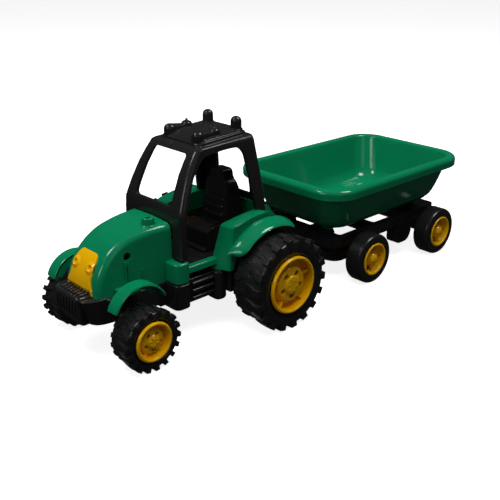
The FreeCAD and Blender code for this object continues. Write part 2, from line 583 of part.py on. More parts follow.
def tub():
    """Tipping tub with a rolled rim, two front pegs and two hinge lugs."""
    outer = tub_solid(0, TUB_FLOOR_Z, LIP_TOP_Z - 1)
    inner = tub_solid(TUB_WALL, TUB_FLOOR_Z + TUB_WALL, LIP_TOP_Z + 0.5)
    lip = Part.Face(rounded_frame(TUB_RIM_X, RIM_HALF, 30.0, LIP_Z)).extrude(V(0, 0, LIP_TOP_Z - LIP_Z))
    hole_x = (TUB_RIM_X[0] + LIP_WIDTH, TUB_RIM_X[1] - LIP_WIDTH)
    hole = Part.Face(rounded_frame(hole_x, RIM_HALF - LIP_WIDTH, 19.5, LIP_Z - 1))
    lip = lip.cut(hole.extrude(V(0, 0, 20)))
    lip = lip.makeFillet(3.0, [e for e in lip.Edges if abs(e.CenterOfMass.z - LIP_TOP_Z) < 0.01])
    pegs = [rod_z(-54, y, 4.0, 46.0, TUB_FLOOR_Z + 1) for y in (-35, 35)]
    lugs = []
    for y in (24.6, -28.6):
        eye = rod_y(HINGE_X, HINGE_Z, 3.2, y, y + 4).fuse(block((HINGE_X - 3.2, HINGE_X + 3.2), (y, y + 4),
                                                                (HINGE_Z, TUB_FLOOR_Z + 1)))
        lugs.append(eye)
    whole = join([outer, lip] + pegs + lugs)
    return whole.cut([inner, rod_y(HINGE_X, HINGE_Z, HINGE_R, -40, 40)])


def trailer_frame():
    """Black ladder frame with peg cups, axle carriers, side boxes and a rounded front beam."""
    x0, x1 = FRAME_X
    inner = RAIL_HALF - RAIL_WIDTH
    outline = Part.Face(rounded_frame((x0, x1), RAIL_HALF, 9.0, RAIL_BOTTOM_Z))
    plate = outline.extrude(V(0, 0, RAIL_TOP_Z - RAIL_BOTTOM_Z))
    top_edges = [e for e in plate.Edges if abs(e.CenterOfMass.z - RAIL_TOP_Z) < 0.01]
    plate = plate.makeFillet(2.5, top_edges)
    bays = [block(bay_x, (-inner, inner), (30, 60)) for bay_x in FRAME_BAYS]
    cups = []
    for y in (-35, 35):
        cups.append(block((-66, -50), (y - 8, y + 8), (RAIL_BOTTOM_Z, RAIL_TOP_Z - 1)))
    frame = plate.cut(bays).fuse(cups)
    side = [block((-85, -70), (inner - 6, inner + 3), (21.5, RAIL_BOTTOM_Z + 2)),
            block((TRAILER_REAR_X - 8, TRAILER_REAR_X + 8), (inner - 6, inner + 3), (21.5, RAIL_BOTTOM_Z + 2)),
            rounded_block((-178, -149), (44, 57), (17, RAIL_BOTTOM_Z + 2), 4.0)]
    carriers = []
    for piece in side:
        carriers += both_sides(piece)
    bow = Part.Face(rounded_frame((-84, -46), 50.0, 16.0, BEAM_Z[0])).extrude(V(0, 0, BEAM_Z[1] - BEAM_Z[0]))
    bow = bow.cut(Part.Face(rounded_frame((-100, -56), 40.0, 8.0, BEAM_Z[0] - 1)).extrude(V(0, 0, 30)))
    neck = block((-56, -46), (-16, 16), (BEAM_Z[1] - 6, RAIL_BOTTOM_Z + 2))
    lugs = []
    for y in (20.0, -24.0):
        lugs.append(rod_y(HINGE_X, HINGE_Z, 3.0, y, y + 4).fuse(
            block((HINGE_X - 3, HINGE_X + 3), (y, y + 4), (RAIL_TOP_Z - 2, HINGE_Z))))
    frame = join([frame, bow, neck] + carriers + lugs)
    bores = [rod_y(x, TRAILER_WHEEL["radius"], TRAILER_WHEEL["axle"] + RUNNING_FIT, -60, 60)
             for x in (TRAILER_FRONT_X, TRAILER_REAR_X)]
    sockets = [rod_z(-54, y, 4.4, 44, 60) for y in (-35, 35)]
    drops = [block((HINGE_X - 8, HINGE_X + 8), (y, y + 6), (48.5, 60)) for y in (24.2, -30.2)]
    return frame.cut(bores + sockets + drops + [rod_y(HINGE_X, HINGE_Z, HINGE_R + RUNNING_FIT, -19.0, 40),
                                                rod_y(HINGE_X, HINGE_Z, HINGE_R + RUNNING_FIT, -40, 19.0)]
                     + [drawbar_root()] + drawbar_screw_forms())


def drawbar_root():
    """End of the tow bar that sits in the front beam."""
    return block((-56, -40), (-9, 9), (TONGUE_TOP_Z, 38.0))


def drawbar_screw_forms():
    """Two short screws, heads down, through the front beam and the tow bar."""
    return [rod_z(-51, y, SCREW_R, 31.0, 41.0).fuse(rod_z(-51, y, 2.6, 28.0, TONGUE_TOP_Z)) for y in (-5, 5)]


def drawbar():
    """Tow bar from the trailer's front beam to an eye over the hitch peg."""
    z0, z1 = TONGUE_TOP_Z + 0.6, 38.0
    arms = plan_plate([(-40, -9), (-16, -5), (HITCH_X, -5), (HITCH_X, 5), (-16, 5), (-40, 9)], z0, z1)
    eye = rod_z(HITCH_X, 0, 8.0, z0, z1)
    bar = join([arms, eye, drawbar_root()])
    return bar.cut([rod_z(HITCH_X, 0, HITCH_R + RUNNING_FIT, 20, 50)] + drawbar_screw_forms())


def drawbar_screws():
    return Part.makeCompound([form.common(block((-60, -40), (-10, 10), (30.0, 50.0)))
                              for form in drawbar_screw_forms()])


def hinge_pin():
    return rod_y(HINGE_X, HINGE_Z, HINGE_R, -29.6, 29.6)


# ---------------------------------------------------------------- every node
def axle_and_wheels(name, rod, tyre, rim):
    return {f"{name}_axle": rod, f"{name}_tyre_left": tyre, f"{name}_tyre_right": mirrored(tyre),
            f"{name}_rim_left": rim, f"{name}_rim_right": mirrored(rim)}


def trailer_wheel_nodes(name, x):
    tyre, rim = trailer_tyre(x), trailer_rim(x)
    rod = dict(TRAILER_WHEEL, x=x)
    return axle_and_wheels(name, axle(x, rod), tyre, rim)


def tractor_wheel_nodes(name, wheel, lugs):
    tyre, rim = tractor_tyre(wheel, lugs), tractor_rim(wheel)
    return axle_and_wheels(name, axle(wheel["x"], wheel), tyre, rim)


def all_nodes():
    nodes = {"chassis": chassis(), "body_shell": body_shell(), "headlight_panel": headlight_panel(),
             "cab_frame": cab_frame(), "roof_panel": roof_panel(), "driver_seat": seat(),
             "body_screws": body_screws(), "trailer_tub": tub(), "trailer_frame": trailer_frame(),
             "drawbar": drawbar(), "drawbar_screws": drawbar_screws(), "tub_hinge_pin": hinge_pin()}
    nodes.update(tractor_wheel_nodes("rear", REAR_WHEEL, REAR_LUGS))
    nodes.update(tractor_wheel_nodes("front", FRONT_WHEEL, FRONT_LUGS))
    nodes.update(trailer_wheel_nodes("trailer_front", TRAILER_FRONT_X))
    nodes.update(trailer_wheel_nodes("trailer_rear", TRAILER_REAR_X))
    return nodes


os.makedirs("parts", exist_ok=True)
for node_name, node_shape in all_nodes().items():
    if not node_shape.isValid():
        print("invalid:", node_name)
    print(f"{node_name}: {len(node_shape.Solids)} solid(s), {node_shape.Volume:.0f} mm3")
    node_shape.exportStep(f"parts/{node_name}.step")
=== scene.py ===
import json
import math

import bmesh
import bpy
from mathutils import Matrix, Vector

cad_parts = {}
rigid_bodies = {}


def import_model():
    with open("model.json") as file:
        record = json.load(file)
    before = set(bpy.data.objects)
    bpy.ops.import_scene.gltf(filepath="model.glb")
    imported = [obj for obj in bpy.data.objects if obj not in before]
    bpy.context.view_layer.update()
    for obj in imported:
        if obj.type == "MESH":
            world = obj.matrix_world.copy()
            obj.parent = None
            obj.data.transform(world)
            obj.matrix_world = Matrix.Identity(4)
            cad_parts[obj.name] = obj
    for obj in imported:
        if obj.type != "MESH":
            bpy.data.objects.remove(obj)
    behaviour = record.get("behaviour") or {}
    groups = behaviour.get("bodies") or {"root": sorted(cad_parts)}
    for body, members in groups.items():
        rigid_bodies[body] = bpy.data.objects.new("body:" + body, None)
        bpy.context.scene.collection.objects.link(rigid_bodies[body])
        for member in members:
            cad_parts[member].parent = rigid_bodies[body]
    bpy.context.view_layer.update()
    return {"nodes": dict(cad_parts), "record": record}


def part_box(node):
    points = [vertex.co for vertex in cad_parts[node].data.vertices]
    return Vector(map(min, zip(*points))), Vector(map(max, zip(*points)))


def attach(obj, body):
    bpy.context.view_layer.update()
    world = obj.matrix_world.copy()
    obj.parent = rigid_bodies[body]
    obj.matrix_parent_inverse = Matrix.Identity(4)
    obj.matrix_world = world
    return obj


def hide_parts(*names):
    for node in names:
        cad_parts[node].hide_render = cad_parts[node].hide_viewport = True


bl_info = {
    "name": "Toy tractor with tipping trailer",
    "version": (1, 0, 0),
    "blender": (4, 5, 0),
    "location": "View3D > Sidebar > Toy tractor",
    "description": "Mouldings, wheels and finishes of a toy tractor and its trailer",
    "category": "Add Mesh",
}

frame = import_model()
MM = 0.001
CORNER_STEPS = 6


# wheel axles as (x, z), and the tub's two front pegs
FRONT_AXLE, REAR_AXLE = (206.5, 29.2), (64.0, 46.3)
TRAILER_AXLES_X = (-77.5, -200.5)
PEG_PLACES = ((-54.0, -35.0), (-54.0, 35.0))


# ---------------------------------------------------------------- places taken from the frame
def span(node, axis):
    """Lowest and highest place of a CAD node along an axis, in millimetres."""
    low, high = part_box(node)
    return low[axis] / MM, high[axis] / MM


def centre(node, axis):
    return sum(span(node, axis)) / 2


# ---------------------------------------------------------------- sizes and colours a user may change
def length(text, hint, default):
    return bpy.props.FloatProperty(name=text, description=hint, default=default, min=0.0)


def angle(text, hint, degrees):
    return bpy.props.FloatProperty(name=text, description=hint, default=math.radians(degrees), subtype="ANGLE")


def colour(text, hint, default):
    return bpy.props.FloatVectorProperty(name=text, description=hint, default=default, subtype="COLOR",
                                         size=3, min=0.0, max=1.0)


class ToyFinish(bpy.types.PropertyGroup):
    green: colour("Green", "Colour of the body and tub mouldings", (0.0018, 0.222, 0.092))
    yellow: colour("Yellow", "Colour of the rims and the nose panel", (1.0, 0.53, 0.001))
    black: colour("Black", "Colour of the cab and chassis mouldings", (0.0125, 0.0125, 0.0125))
    tyre: colour("Tyre", "Colour of the tyres", (0.0135, 0.0135, 0.0137))
    steel: colour("Steel", "Colour of axles and screws", (0.55, 0.55, 0.54))
    gloss: length("Gloss roughness", "Roughness of the polished mouldings", 0.11)


class ToyShape(bpy.types.PropertyGroup):
    hood_edge: length("Hood edge", "Radius of the hood's long edges, in millimetres", 6.5)
    skin: length("Skin", "Wall thickness of the green mouldings, in millimetres", 2.2)
    lug_height: length("Lug height", "Height of the tread bars, in millimetres", 2.7)
    lugs: bpy.props.IntProperty(name="Lugs", description="Tread bars on each side of a tractor tyre",
                                default=18, min=8, max=40)


class ToyStage(bpy.types.PropertyGroup):
    azimuth: angle("Azimuth", "Camera's turn about Z from the +X axis", 46.65)
    elevation: angle("Elevation", "Camera's angle above level", 22.54)
    distance: length("Distance", "From the camera to the place it looks at, in metres", 0.797)
    lens: length("Lens", "Focal length in millimetres", 54.5)
    roll: angle("Roll", "Camera's turn about its own axis", 0.28)
    floor_colour: colour("Floor", "Colour of the studio floor", (0.9, 0.9, 0.9))


# ---------------------------------------------------------------- shader building
class Number:
    """A number from a node socket, which can be added and multiplied."""

    def __init__(self, build, socket):
        self.build = build
        self.socket = socket

    def _with(self, operation, other):
        return self.build.node("ShaderNodeMath", {"operation": operation}, {0: self, 1: other})

    def __add__(self, other):
        return self._with("ADD", other)

    def __mul__(self, other):
        return self._with("MULTIPLY", other)

    __radd__ = __add__


class Build:
    """Adds nodes to one material and hands back their outputs."""

    def __init__(self, name):
        self.material = bpy.data.materials.new(name)
        self.material.use_nodes = True
        self.tree = self.material.node_tree
        self.shader = self.tree.nodes["Principled BSDF"]

    def node(self, kind, settings=None, sockets=None, output=0):
        made = self.tree.nodes.new(kind)
        for key, value in (settings or {}).items():
            if key == "stops":
                for stop, (place, level) in zip(made.color_ramp.elements, value):
                    stop.position, stop.color = place, (level, level, level, 1)
            else:
                setattr(made, key, value)
        for key, value in (sockets or {}).items():
            self.put(made.inputs[key], value)
        return Number(self, made.outputs[output])

    def put(self, socket, value):
        if isinstance(value, Number):
            self.tree.links.new(value.socket, socket)
        elif isinstance(value, tuple) and len(value) == 3 and socket.type == "RGBA":
            socket.default_value = (*value, 1)
        else:
            socket.default_value = value

    def feed(self, name, value):
        self.put(self.shader.inputs[name], value)

    def objects(self):
        return self.node("ShaderNodeTexCoord", output="Object")

    def noise(self, scale, detail=3.0, stretch=(1, 1, 1)):
        place = self.node("ShaderNodeMapping", {}, {"Vector": self.objects(), "Scale": stretch})
        return self.node("ShaderNodeTexNoise", {}, {"Vector": place, "Scale": scale, "Detail": detail})

    def ramp(self, value, low, high):
        stops = {"stops": [(low, 0.0), (high, 1.0)]}
        return self.node("ShaderNodeValToRGB", stops, {"Fac": value})

    def mix(self, share, first, second):
        return self.node("ShaderNodeMix", {"data_type": "RGBA"}, {0: share, 6: first, 7: second}, output=2)

    def skin(self, height, strength, depth, edge=0.0):
        """Fine relief; with an edge size, sharp corners are shaded round as well."""
        sockets = {"Height": height, "Strength": strength, "Distance": depth}
        if edge:
            sockets["Normal"] = self.node("ShaderNodeBevel", {"samples": 4}, {"Radius": edge * MM})
        self.feed("Normal", self.node("ShaderNodeBump", {}, sockets))


def darker(tint, share):
    return tuple(c * share for c in tint)


def moulded(name, tint, roughness, edge):
    """Polished injection-moulded plastic: soft colour drift, fine scuffs and a faint skin."""
    b = Build(name)
    drift = b.ramp(b.noise(22.0), 0.3, 0.75)
    scuffs = b.ramp(b.noise(260.0, 6.0, (1.0, 0.16, 0.3)), 0.56, 0.74)
    dust = b.ramp(b.noise(75.0, 8.0), 0.55, 0.9)
    tone = b.mix(drift, tint, darker(tint, 0.88))
    b.feed("Base Color", b.mix(scuffs * 0.3 + dust * 0.2, tone, darker(tint, 1.12)))
    b.feed("Roughness", roughness + drift * 0.04 + scuffs * 0.06 + dust * 0.04)
    b.skin(b.noise(420.0, 4.0), 0.06, 0.0002, edge)
    return b.material


def tyre_finish(name, tint, edge):
    """Satin black plastic with a fine grain, greyer and duller in random dusty patches."""
    b = Build(name)
    drift = b.ramp(b.noise(35.0, 5.0), 0.3, 0.8)
    dust = b.ramp(b.noise(120.0, 8.0), 0.5, 0.85)
    tone = b.mix(drift, tint, darker(tint, 0.7))
    b.feed("Base Color", b.mix(dust * 0.3, tone, darker(tint, 1.4)))
    b.feed("Roughness", 0.24 + drift * 0.08 + dust * 0.1)
    b.skin(b.noise(900.0), 0.16, 0.0003, edge)
    return b.material


def steel_finish(name, tint):
    """Drawn steel wire: fine rings along the rod and a little tarnish."""
    b = Build(name)
    tarnish = b.ramp(b.noise(140.0, 5.0), 0.4, 0.75)
    drawn = b.noise(600.0, 2.0, (1.0, 8.0, 1.0))
    b.feed("Base Color", b.mix(tarnish, tint, darker(tint, 0.62)))
    b.feed("Metallic", 1.0)
    b.feed("Roughness", 0.24 + tarnish * 0.16 + drawn * 0.08)
    b.skin(drawn, 0.12, 0.0002)
    return b.material


finishes = {}


def finish_of(slot, edge=0.0):
    """The material of a slot; with an edge size for parts whose corners are sharp."""
    key = f"{slot}_edged" if edge else slot
    if key not in finishes:
        looks = bpy.context.scene.toy_finish
        tint = tuple(getattr(looks, slot.removesuffix("_plastic")))
        if slot == "tyre_plastic":
            finishes[key] = tyre_finish(key, tint, edge)
        elif slot == "steel":
            finishes[key] = steel_finish(key, tint)
        else:
            grained = 0.1 if slot == "black_plastic" else 0.0
            finishes[key] = moulded(key, tint, looks.gloss + grained, edge)
    return finishes[key]


# ---------------------------------------------------------------- mesh building, in millimetres
def arc_points(first, middle, last, steps):
    """Points from first to last along the circle through all three."""
    (ax, ay), (bx, by), (cx, cy) = first, middle, last
    d = 2 * (ax * (by - cy) + bx * (cy - ay) + cx * (ay - by))
    a2, b2, c2 = ax * ax + ay * ay, bx * bx + by * by, cx * cx + cy * cy
    ox = (a2 * (by - cy) + b2 * (cy - ay) + c2 * (ay - by)) / d
    oy = (a2 * (cx - bx) + b2 * (ax - cx) + c2 * (bx - ax)) / d
    radius = math.hypot(ax - ox, ay - oy)
    start, end = math.atan2(ay - oy, ax - ox), math.atan2(cy - oy, cx - ox)
    turn = (end - start + math.pi) % (2 * math.pi) - math.pi
    angles = [start + turn * i / steps for i in range(steps + 1)]
    return [(ox + radius * math.cos(a), oy + radius * math.sin(a)) for a in angles]


def blend_of(low, high, share):
    return low + (high - low) * share


def soften(bm, geom, radius, steps=3, affect="EDGES"):
    """Rounds edges, or corners of a flat outline."""
    bmesh.ops.bevel(bm, geom=geom, affect=affect, offset=radius * MM, segments=steps, profile=0.5,
                    material=-1, offset_type="OFFSET", clamp_overlap=True)


def round_corners(bm, verts, points, steps):
    """Rounds those corners whose point carries a size."""
    for vert, point in zip(verts, points):
        if len(point) == 3:
            soften(bm, [vert], point[2], steps, "VERTICES")


def prism(points, axis, low, high, rim=0.0, steps=3):
    """Solid whose outline lies across an axis. A point may carry a corner size; rim rounds both ends."""
    index = "xyz".index(axis)
    bm = bmesh.new()
    verts = []
    for point in points:
        place = list(point[:2])
        place.insert(index, low)
        verts.append(bm.verts.new(Vector(place) * MM))
    bm.faces.new(verts)
    round_corners(bm, verts, points, CORNER_STEPS)
    grown = bmesh.ops.extrude_face_region(bm, geom=bm.faces[:])
    moved = [g for g in grown["geom"] if isinstance(g, bmesh.types.BMVert)]
    way = Vector((0, 0, 0))
    way[index] = (high - low) * MM
    bmesh.ops.translate(bm, vec=way, verts=moved)
    bmesh.ops.recalc_face_normals(bm, faces=bm.faces)
    if rim:
        ends = [e for e in bm.edges if abs(e.verts[0].co[index] - e.verts[1].co[index]) < 1e-7]
        soften(bm, ends, rim, steps)
    return bm


def box(x, y, z, rim=0.0, corner=0.0, axis="z", steps=3):
    """Block between two places on each axis, with rounded corners about one axis and rounded ends."""
    spans = {"x": (y, z, x), "y": (x, z, y), "z": (x, y, z)}[axis]
    (a0, a1), (b0, b1), (c0, c1) = spans
    points = [(a0, b0), (a1, b0), (a1, b1), (a0, b1)]
    if corner:
        points = [(a, b, corner) for a, b in points]
    return prism(points, axis, c0, c1, rim, steps)


def both_sides(half):
    """Outline from one half: its points, then their mirror images in reverse."""
    return half + [(-across, *rest) for across, *rest in reversed(half)]


def loft(rings, closed=True, capped=True):
    """Skin through rings of points, which all have the same number of them."""
    rows = [list(ring) + (list(ring[:1]) if closed else []) for ring in rings]
    across, along = len(rows[0]) - 1, len(rows) - 1
    bm = bmesh.new()
    bmesh.ops.create_grid(bm, x_segments=across, y_segments=along, size=0.5)
    for vert in bm.verts:
        row, column = round((vert.co.y + 0.5) * along), round((vert.co.x + 0.5) * across)
        vert.co = Vector(rows[row][column]) * MM
    bmesh.ops.remove_doubles(bm, verts=bm.verts, dist=1e-7)
    if capped:
        bmesh.ops.holes_fill(bm, edges=[e for e in bm.edges if e.is_boundary], sides=0)
    bmesh.ops.recalc_face_normals(bm, faces=bm.faces)
    return bm


def turned(points, steps, place=(0, 0, 0), axis="z"):
    """Outline of (along, radius) or (along, radius, corner) points turned about an axis through place."""
    bm = bmesh.new()
    verts = [bm.verts.new((p[1] * MM, 0, p[0] * MM)) for p in points]
    bm.faces.new(verts)
    round_corners(bm, verts, points, 4)
    bmesh.ops.delete(bm, geom=bm.faces[:], context="FACES_ONLY")
    on_axis = [e for e in bm.edges if max(abs(v.co.x) for v in e.verts) < 1e-8]
    bmesh.ops.delete(bm, geom=on_axis, context="EDGES")
    bmesh.ops.spin(bm, geom=bm.verts[:] + bm.edges[:], cent=(0, 0, 0), axis=(0, 0, 1), dvec=(0, 0, 0),
                   angle=2 * math.pi, steps=steps, use_merge=True, use_duplicate=False)
    bmesh.ops.remove_doubles(bm, verts=bm.verts, dist=1e-7)
    bmesh.ops.recalc_face_normals(bm, faces=bm.faces)
    turn = {"z": Matrix.Identity(4), "y": Matrix.Rotation(-math.pi / 2, 4, "X"),
            "x": Matrix.Rotation(math.pi / 2, 4, "Y")}[axis]
    bmesh.ops.transform(bm, matrix=Matrix.Translation(Vector(place) * MM) @ turn, verts=bm.verts)
    return bm


def mesh_of(name, bm):
    """Mesh data of a bmesh, which is freed."""
    mesh = bpy.data.meshes.new(name)
    bm.to_mesh(mesh)
    bm.free()
    return mesh


def linked(name, data):
    """New object in the scene."""
    item = bpy.data.objects.new(name, data)
    bpy.context.scene.collection.objects.link(item)
    return item


def joined(parts):
    """One bmesh that holds several; the others are freed."""
    whole = bmesh.new()
    for part in parts:
        mesh = mesh_of("part", part)
        whole.from_mesh(mesh)
        bpy.data.meshes.remove(mesh)
    return whole


def mirrored(bm):
    """Copy on the other side of the toy."""
    other = bm.copy()
    bmesh.ops.scale(other, vec=(1, -1, 1), verts=other.verts)
    bmesh.ops.reverse_faces(other, faces=other.faces)
    return other


def pair(bm):
    """Right-hand copy and left-hand original."""
    return [mirrored(bm), bm]


def rolled(bm, degrees):
    """Turns a bmesh about the Y axis, as a wheel rolls."""
    turn = Matrix.Rotation(-math.radians(degrees), 3, "Y")
    bmesh.ops.rotate(bm, cent=(0, 0, 0), matrix=turn, verts=bm.verts)
    return bm


def carve(bm, cutters):
    """The solid with every cutter taken out of it."""
    made = [linked("carving", mesh_of("carving", part)) for part in [bm] + cutters]
    for tool in made[1:]:
        cut = made[0].modifiers.new("cut", "BOOLEAN")
        cut.operation, cut.solver, cut.object = "DIFFERENCE", "EXACT", tool
    depsgraph = bpy.context.evaluated_depsgraph_get()
    result = bpy.data.meshes.new_from_object(made[0].evaluated_get(depsgraph))
    out = bmesh.new()
    out.from_mesh(result)
    bpy.data.meshes.remove(result)
    for item in made:
        mesh = item.data
        bpy.data.objects.remove(item)
        bpy.data.meshes.remove(mesh)
    bmesh.ops.remove_doubles(out, verts=out.verts, dist=2e-6)
    return out


def plan_ring(x0, x1, half, corner, height, steps=CORNER_STEPS):
    """Rounded rectangle seen from above; height is a number or a function of (x, y)."""
    ring = []
    for cx, cy, start in ((x1 - corner, half - corner, 0), (x0 + corner, half - corner, 90),
                          (x0 + corner, corner - half, 180), (x1 - corner, corner - half, 270)):
        for i in range(steps + 1):
            a = math.radians(start + 90 * i / steps)
            x, y = cx + corner * math.cos(a), cy + corner * math.sin(a)
            ring.append((x, y, height(x, y) if callable(height) else height))
    return ring


def place_piece(bm, name, body, slot, replaced=(), bevel=0.0, sharp=38.0):
    """Makes a bmesh a finished object that rides on its CAD body."""
    mesh = mesh_of(name, bm)
    mesh.shade_smooth()
    item = linked(name, mesh)
    mesh.materials.append(finish_of(slot))
    if bevel:
        edge = item.modifiers.new("edge", "BEVEL")
        edge.width, edge.segments, edge.limit_method = bevel * MM, 3, "ANGLE"
        edge.angle_limit = math.radians(32)
    else:
        mesh.set_sharp_from_angle(angle=math.radians(sharp))
    shading = item.modifiers.new("shading", "WEIGHTED_NORMAL")
    shading.keep_sharp = True
    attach(item, body)
    if replaced:
        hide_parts(*replaced)
    return item


def place_pair(name, bm, body, slot, nodes=False):
    """Places a left-hand piece and its mirror image; nodes says that each replaces the node of its name."""
    for side, part in zip(("right", "left"), pair(bm)):
        if nodes:
            place_piece(part, f"{name}_{side}_moulding", body, slot, [f"{name}_{side}"])
        else:
            place_piece(part, f"{name}_{side}", body, slot)


def thickened(sheet, axis, thickness):
    """Closed shell from a sheet that faces outwards along an axis."""
    if sum(f.normal[axis] * f.calc_area() for f in sheet.faces) < 0:
        bmesh.ops.reverse_faces(sheet, faces=sheet.faces)
    bmesh.ops.solidify(sheet, geom=sheet.faces[:], thickness=thickness * MM)
    return sheet


# ---------------------------------------------------------------- green body
HOOD_REAR_X, HOOD_NOSE_X, HOOD_FOOT_Z = 155, 233.3, 57
HOOD_STEPS = 22


def nose_line(steps):
    return arc_points((194, 109.3), (219.5, 94), (HOOD_NOSE_X, HOOD_FOOT_Z + 3), steps)


def hood_profile():
    """Side line of the hood, from its rear top edge down to the nose."""
    back = arc_points((HOOD_REAR_X, 112.8), (175, 112.4), (194, 109.3), 7)
    return back + nose_line(HOOD_STEPS)[1:]


def hood_half(x, z):
    """Half the hood's width: narrower along the top, flared towards the foot."""
    top = 23.6 + 6.4 * max(0, (232 - x) / 77) ** 1.7
    foot = 28.6 - 3.6 * max(0, (x - 214) / 19) ** 2
    share = min(1, max(0, (z - HOOD_FOOT_Z) / 42))
    return blend_of(max(foot, top), top, share ** 0.8)


def hood_rings(radius):
    """Sections of the hood: wall, rounded shoulder, crowned top, shoulder and wall."""
    line = hood_profile()
    rings = []
    for i, (x, z) in enumerate(line):
        ahead, behind = line[min(i + 1, len(line) - 1)], line[max(i - 1, 0)]
        way = Vector((ahead[0] - behind[0], ahead[1] - behind[1])).normalized()
        out = Vector((-way.y, way.x))
        cx, cz = x - out.x * radius, z - out.y * radius
        half = hood_half(cx, cz)
        foot_x = blend_of(HOOD_REAR_X, HOOD_NOSE_X - radius, (i / (len(line) - 1)) ** 0.92)
        foot_z = min(HOOD_FOOT_Z, cz)
        side = []
        for step in range(5):
            s = step / 5
            wx, wz = blend_of(foot_x, cx, s), blend_of(foot_z, cz, s)
            side.append((wx, hood_half(wx, wz), wz))
        for step in range(8):
            a = math.pi / 2 * step / 7
            side.append((cx + out.x * radius * math.sin(a), half - radius + radius * math.cos(a),
                         cz + out.y * radius * math.sin(a)))
        crown, inner = 0.9, half - radius
        middle = [(x + out.x * crown * (1 - t * t), inner * t, z + out.y * crown * (1 - t * t))
                  for t in (0.75, 0.5, 0.25, 0, -0.25, -0.5, -0.75)]
        rings.append(side + middle + [(px, -py, pz) for px, py, pz in reversed(side)])
    return rings


def hood_rib(x, low, high, half_width):
    """Thin upright rib on the hood's side wall."""
    y = hood_half(x, (low + high) / 2)
    return box((x - half_width, x + half_width), (y - 1.4, y + 1.2), (low, high), 0.3, 0.4, steps=2)


class TOY_OT_hood(bpy.types.Operator):
    """Hood with its exhaust stub, loader holes and side ribs"""

    bl_idname = "toy.hood"
    bl_label = "Hood"

    def execute(self, context):
        shape = context.scene.toy_shape
        shell = thickened(loft(hood_rings(shape.hood_edge), closed=False, capped=False), 2, shape.skin)
        bmesh.ops.recalc_face_normals(shell, faces=shell.faces)
        pin = turned([(-45, 0), (-45, 3.7), (45, 3.7), (45, 0)], 32, (199.5, 0, 92.5), "y")
        shell = carve(shell, [pin])
        foot = (170, 17, 112.6)
        stub = turned([(-4, 2.3), (-4, 6.3), (0.2, 6.2, 0.5), (6.6, 5.5, 0.9), (6.6, 2.3, 0.4)], 40, foot)
        floor = turned([(-1, 0), (-1, 2.5), (0.5, 2.5), (0.5, 0)], 24, foot)
        collar = turned([(-2, 5), (-2, 7.8), (0.5, 7.4, 0.6), (0.9, 5.8)], 40, (170, 17, 112.4))
        ribs = [hood_rib(x, low, high, w) for x, low, high, w in
                ((203, 62, 88.5, 0.8), (200.5, 62, 87.5, 0.5), (186.5, 62, 78, 0.5))]
        whole = joined([shell, stub, floor, collar] + [side for rib in ribs for side in pair(rib)])
        place_piece(whole, "hood", "tractor", "green_plastic", ["body_shell"])
        return {"FINISHED"}


def bent_band(axle, angles, ring_at, steps):
    """Closed section carried round a level axis; ring_at gives its (y, radius) points on the way."""
    rings = []
    for i in range(steps + 1):
        share = i / steps
        a = math.radians(blend_of(angles[0], angles[1], share))
        x, z = math.cos(a), math.sin(a)
        rings.append([(axle[0] + r * x, y, axle[1] + r * z) for y, r in ring_at(share)])
    return loft(rings)


def front_fender():
    """Arch over a front wheel: crowned band, inner web and the bridge to the hood."""
    def section(share):
        end = 1.4 * max(0, 1 - share / 0.05) + 1.4 * max(0, (share - 0.95) / 0.05)
        y0, y1, r = 43, 56.8, 28.8
        return [(y0, r - 2.2), (y1 - 0.6, r - 2.4), (y1 - end * 0.5, r - 1.5),
                (y1 - 0.8 - end * 0.5, r - 0.4), ((y0 + y1) / 2 + 1, r + 0.1), (y0 + 1, r), (y0, r - 0.6)]

    band = bent_band((207.5, 49.5), (20, 156), section, 40)
    strip = [(43, 27.5), (44.6, 27.5), (44.6, 20), (43, 20)]
    web = bent_band((207.5, 50), (24, 150), lambda share: strip, 30)
    bridge = box((199, 216), (26, 44), (65, 67.5), rim=0.5, corner=2)
    return joined([band, web, bridge])


def pillar_socket():
    """Rounded post that takes a pillar's foot, with a lowered collar round it."""
    outline = [(146.6, 28), (162.5, 28, 3), (162.5, 47.6, 6.5), (146.6, 47.6, 5)]
    post = prism(outline, "z", 58.9, 79, rim=2, steps=4)
    for vert in post.verts:
        rise = (vert.co.z / MM - 59) / 20
        vert.co.y -= 0.5 * rise * MM
    well = prism([(147.8, 31, 1), (155.2, 31, 1), (155.2, 44.4, 1), (147.8, 44.4, 1)], "z", 72, 84)
    return carve(post, [well])


def quarter():
    """Side box beside the seat: flat top ledge with a raised ridge, hollow front face."""
    top = [(104.5, 103.8, 2.5), (83, 106.8, 9), (58, 108.6, 6), (38, 92, 4)]
    low = [(44, 90, 3), (96, 87, 6), (104.5, 61.2, 1), (109.5, 61.2, 1), (106.4, 84, 8)]
    block = prism(top + low, "y", 40.2, 57.2, rim=1.3)
    for vert in block.verts:
        x, y, z = (c / MM for c in vert.co)
        if x > 98:
            inward = max(0, 57.2 - y) / 17
            reach = blend_of(8.5, 1, min(1, max(0, (z - 70) / 34)))
            vert.co.x += (inward ** 1.4) * reach * MM * min(1, (x - 98) / 6)
        if y < 52 and z > 88:
            vert.co.z -= 0.9 * MM
    ridge_top = [(105.2, 102.2, 1), (84, 107.8, 8), (58, 109.4, 5), (37.5, 92.4, 3)]
    ridge_low = [(40, 90, 1), (60, 106.4, 4), (84, 104.6, 6), (102, 99.4, 1)]
    ridge = prism(ridge_top + ridge_low, "y", 55.9, 57.5, rim=0.7)
    return joined([block, ridge])


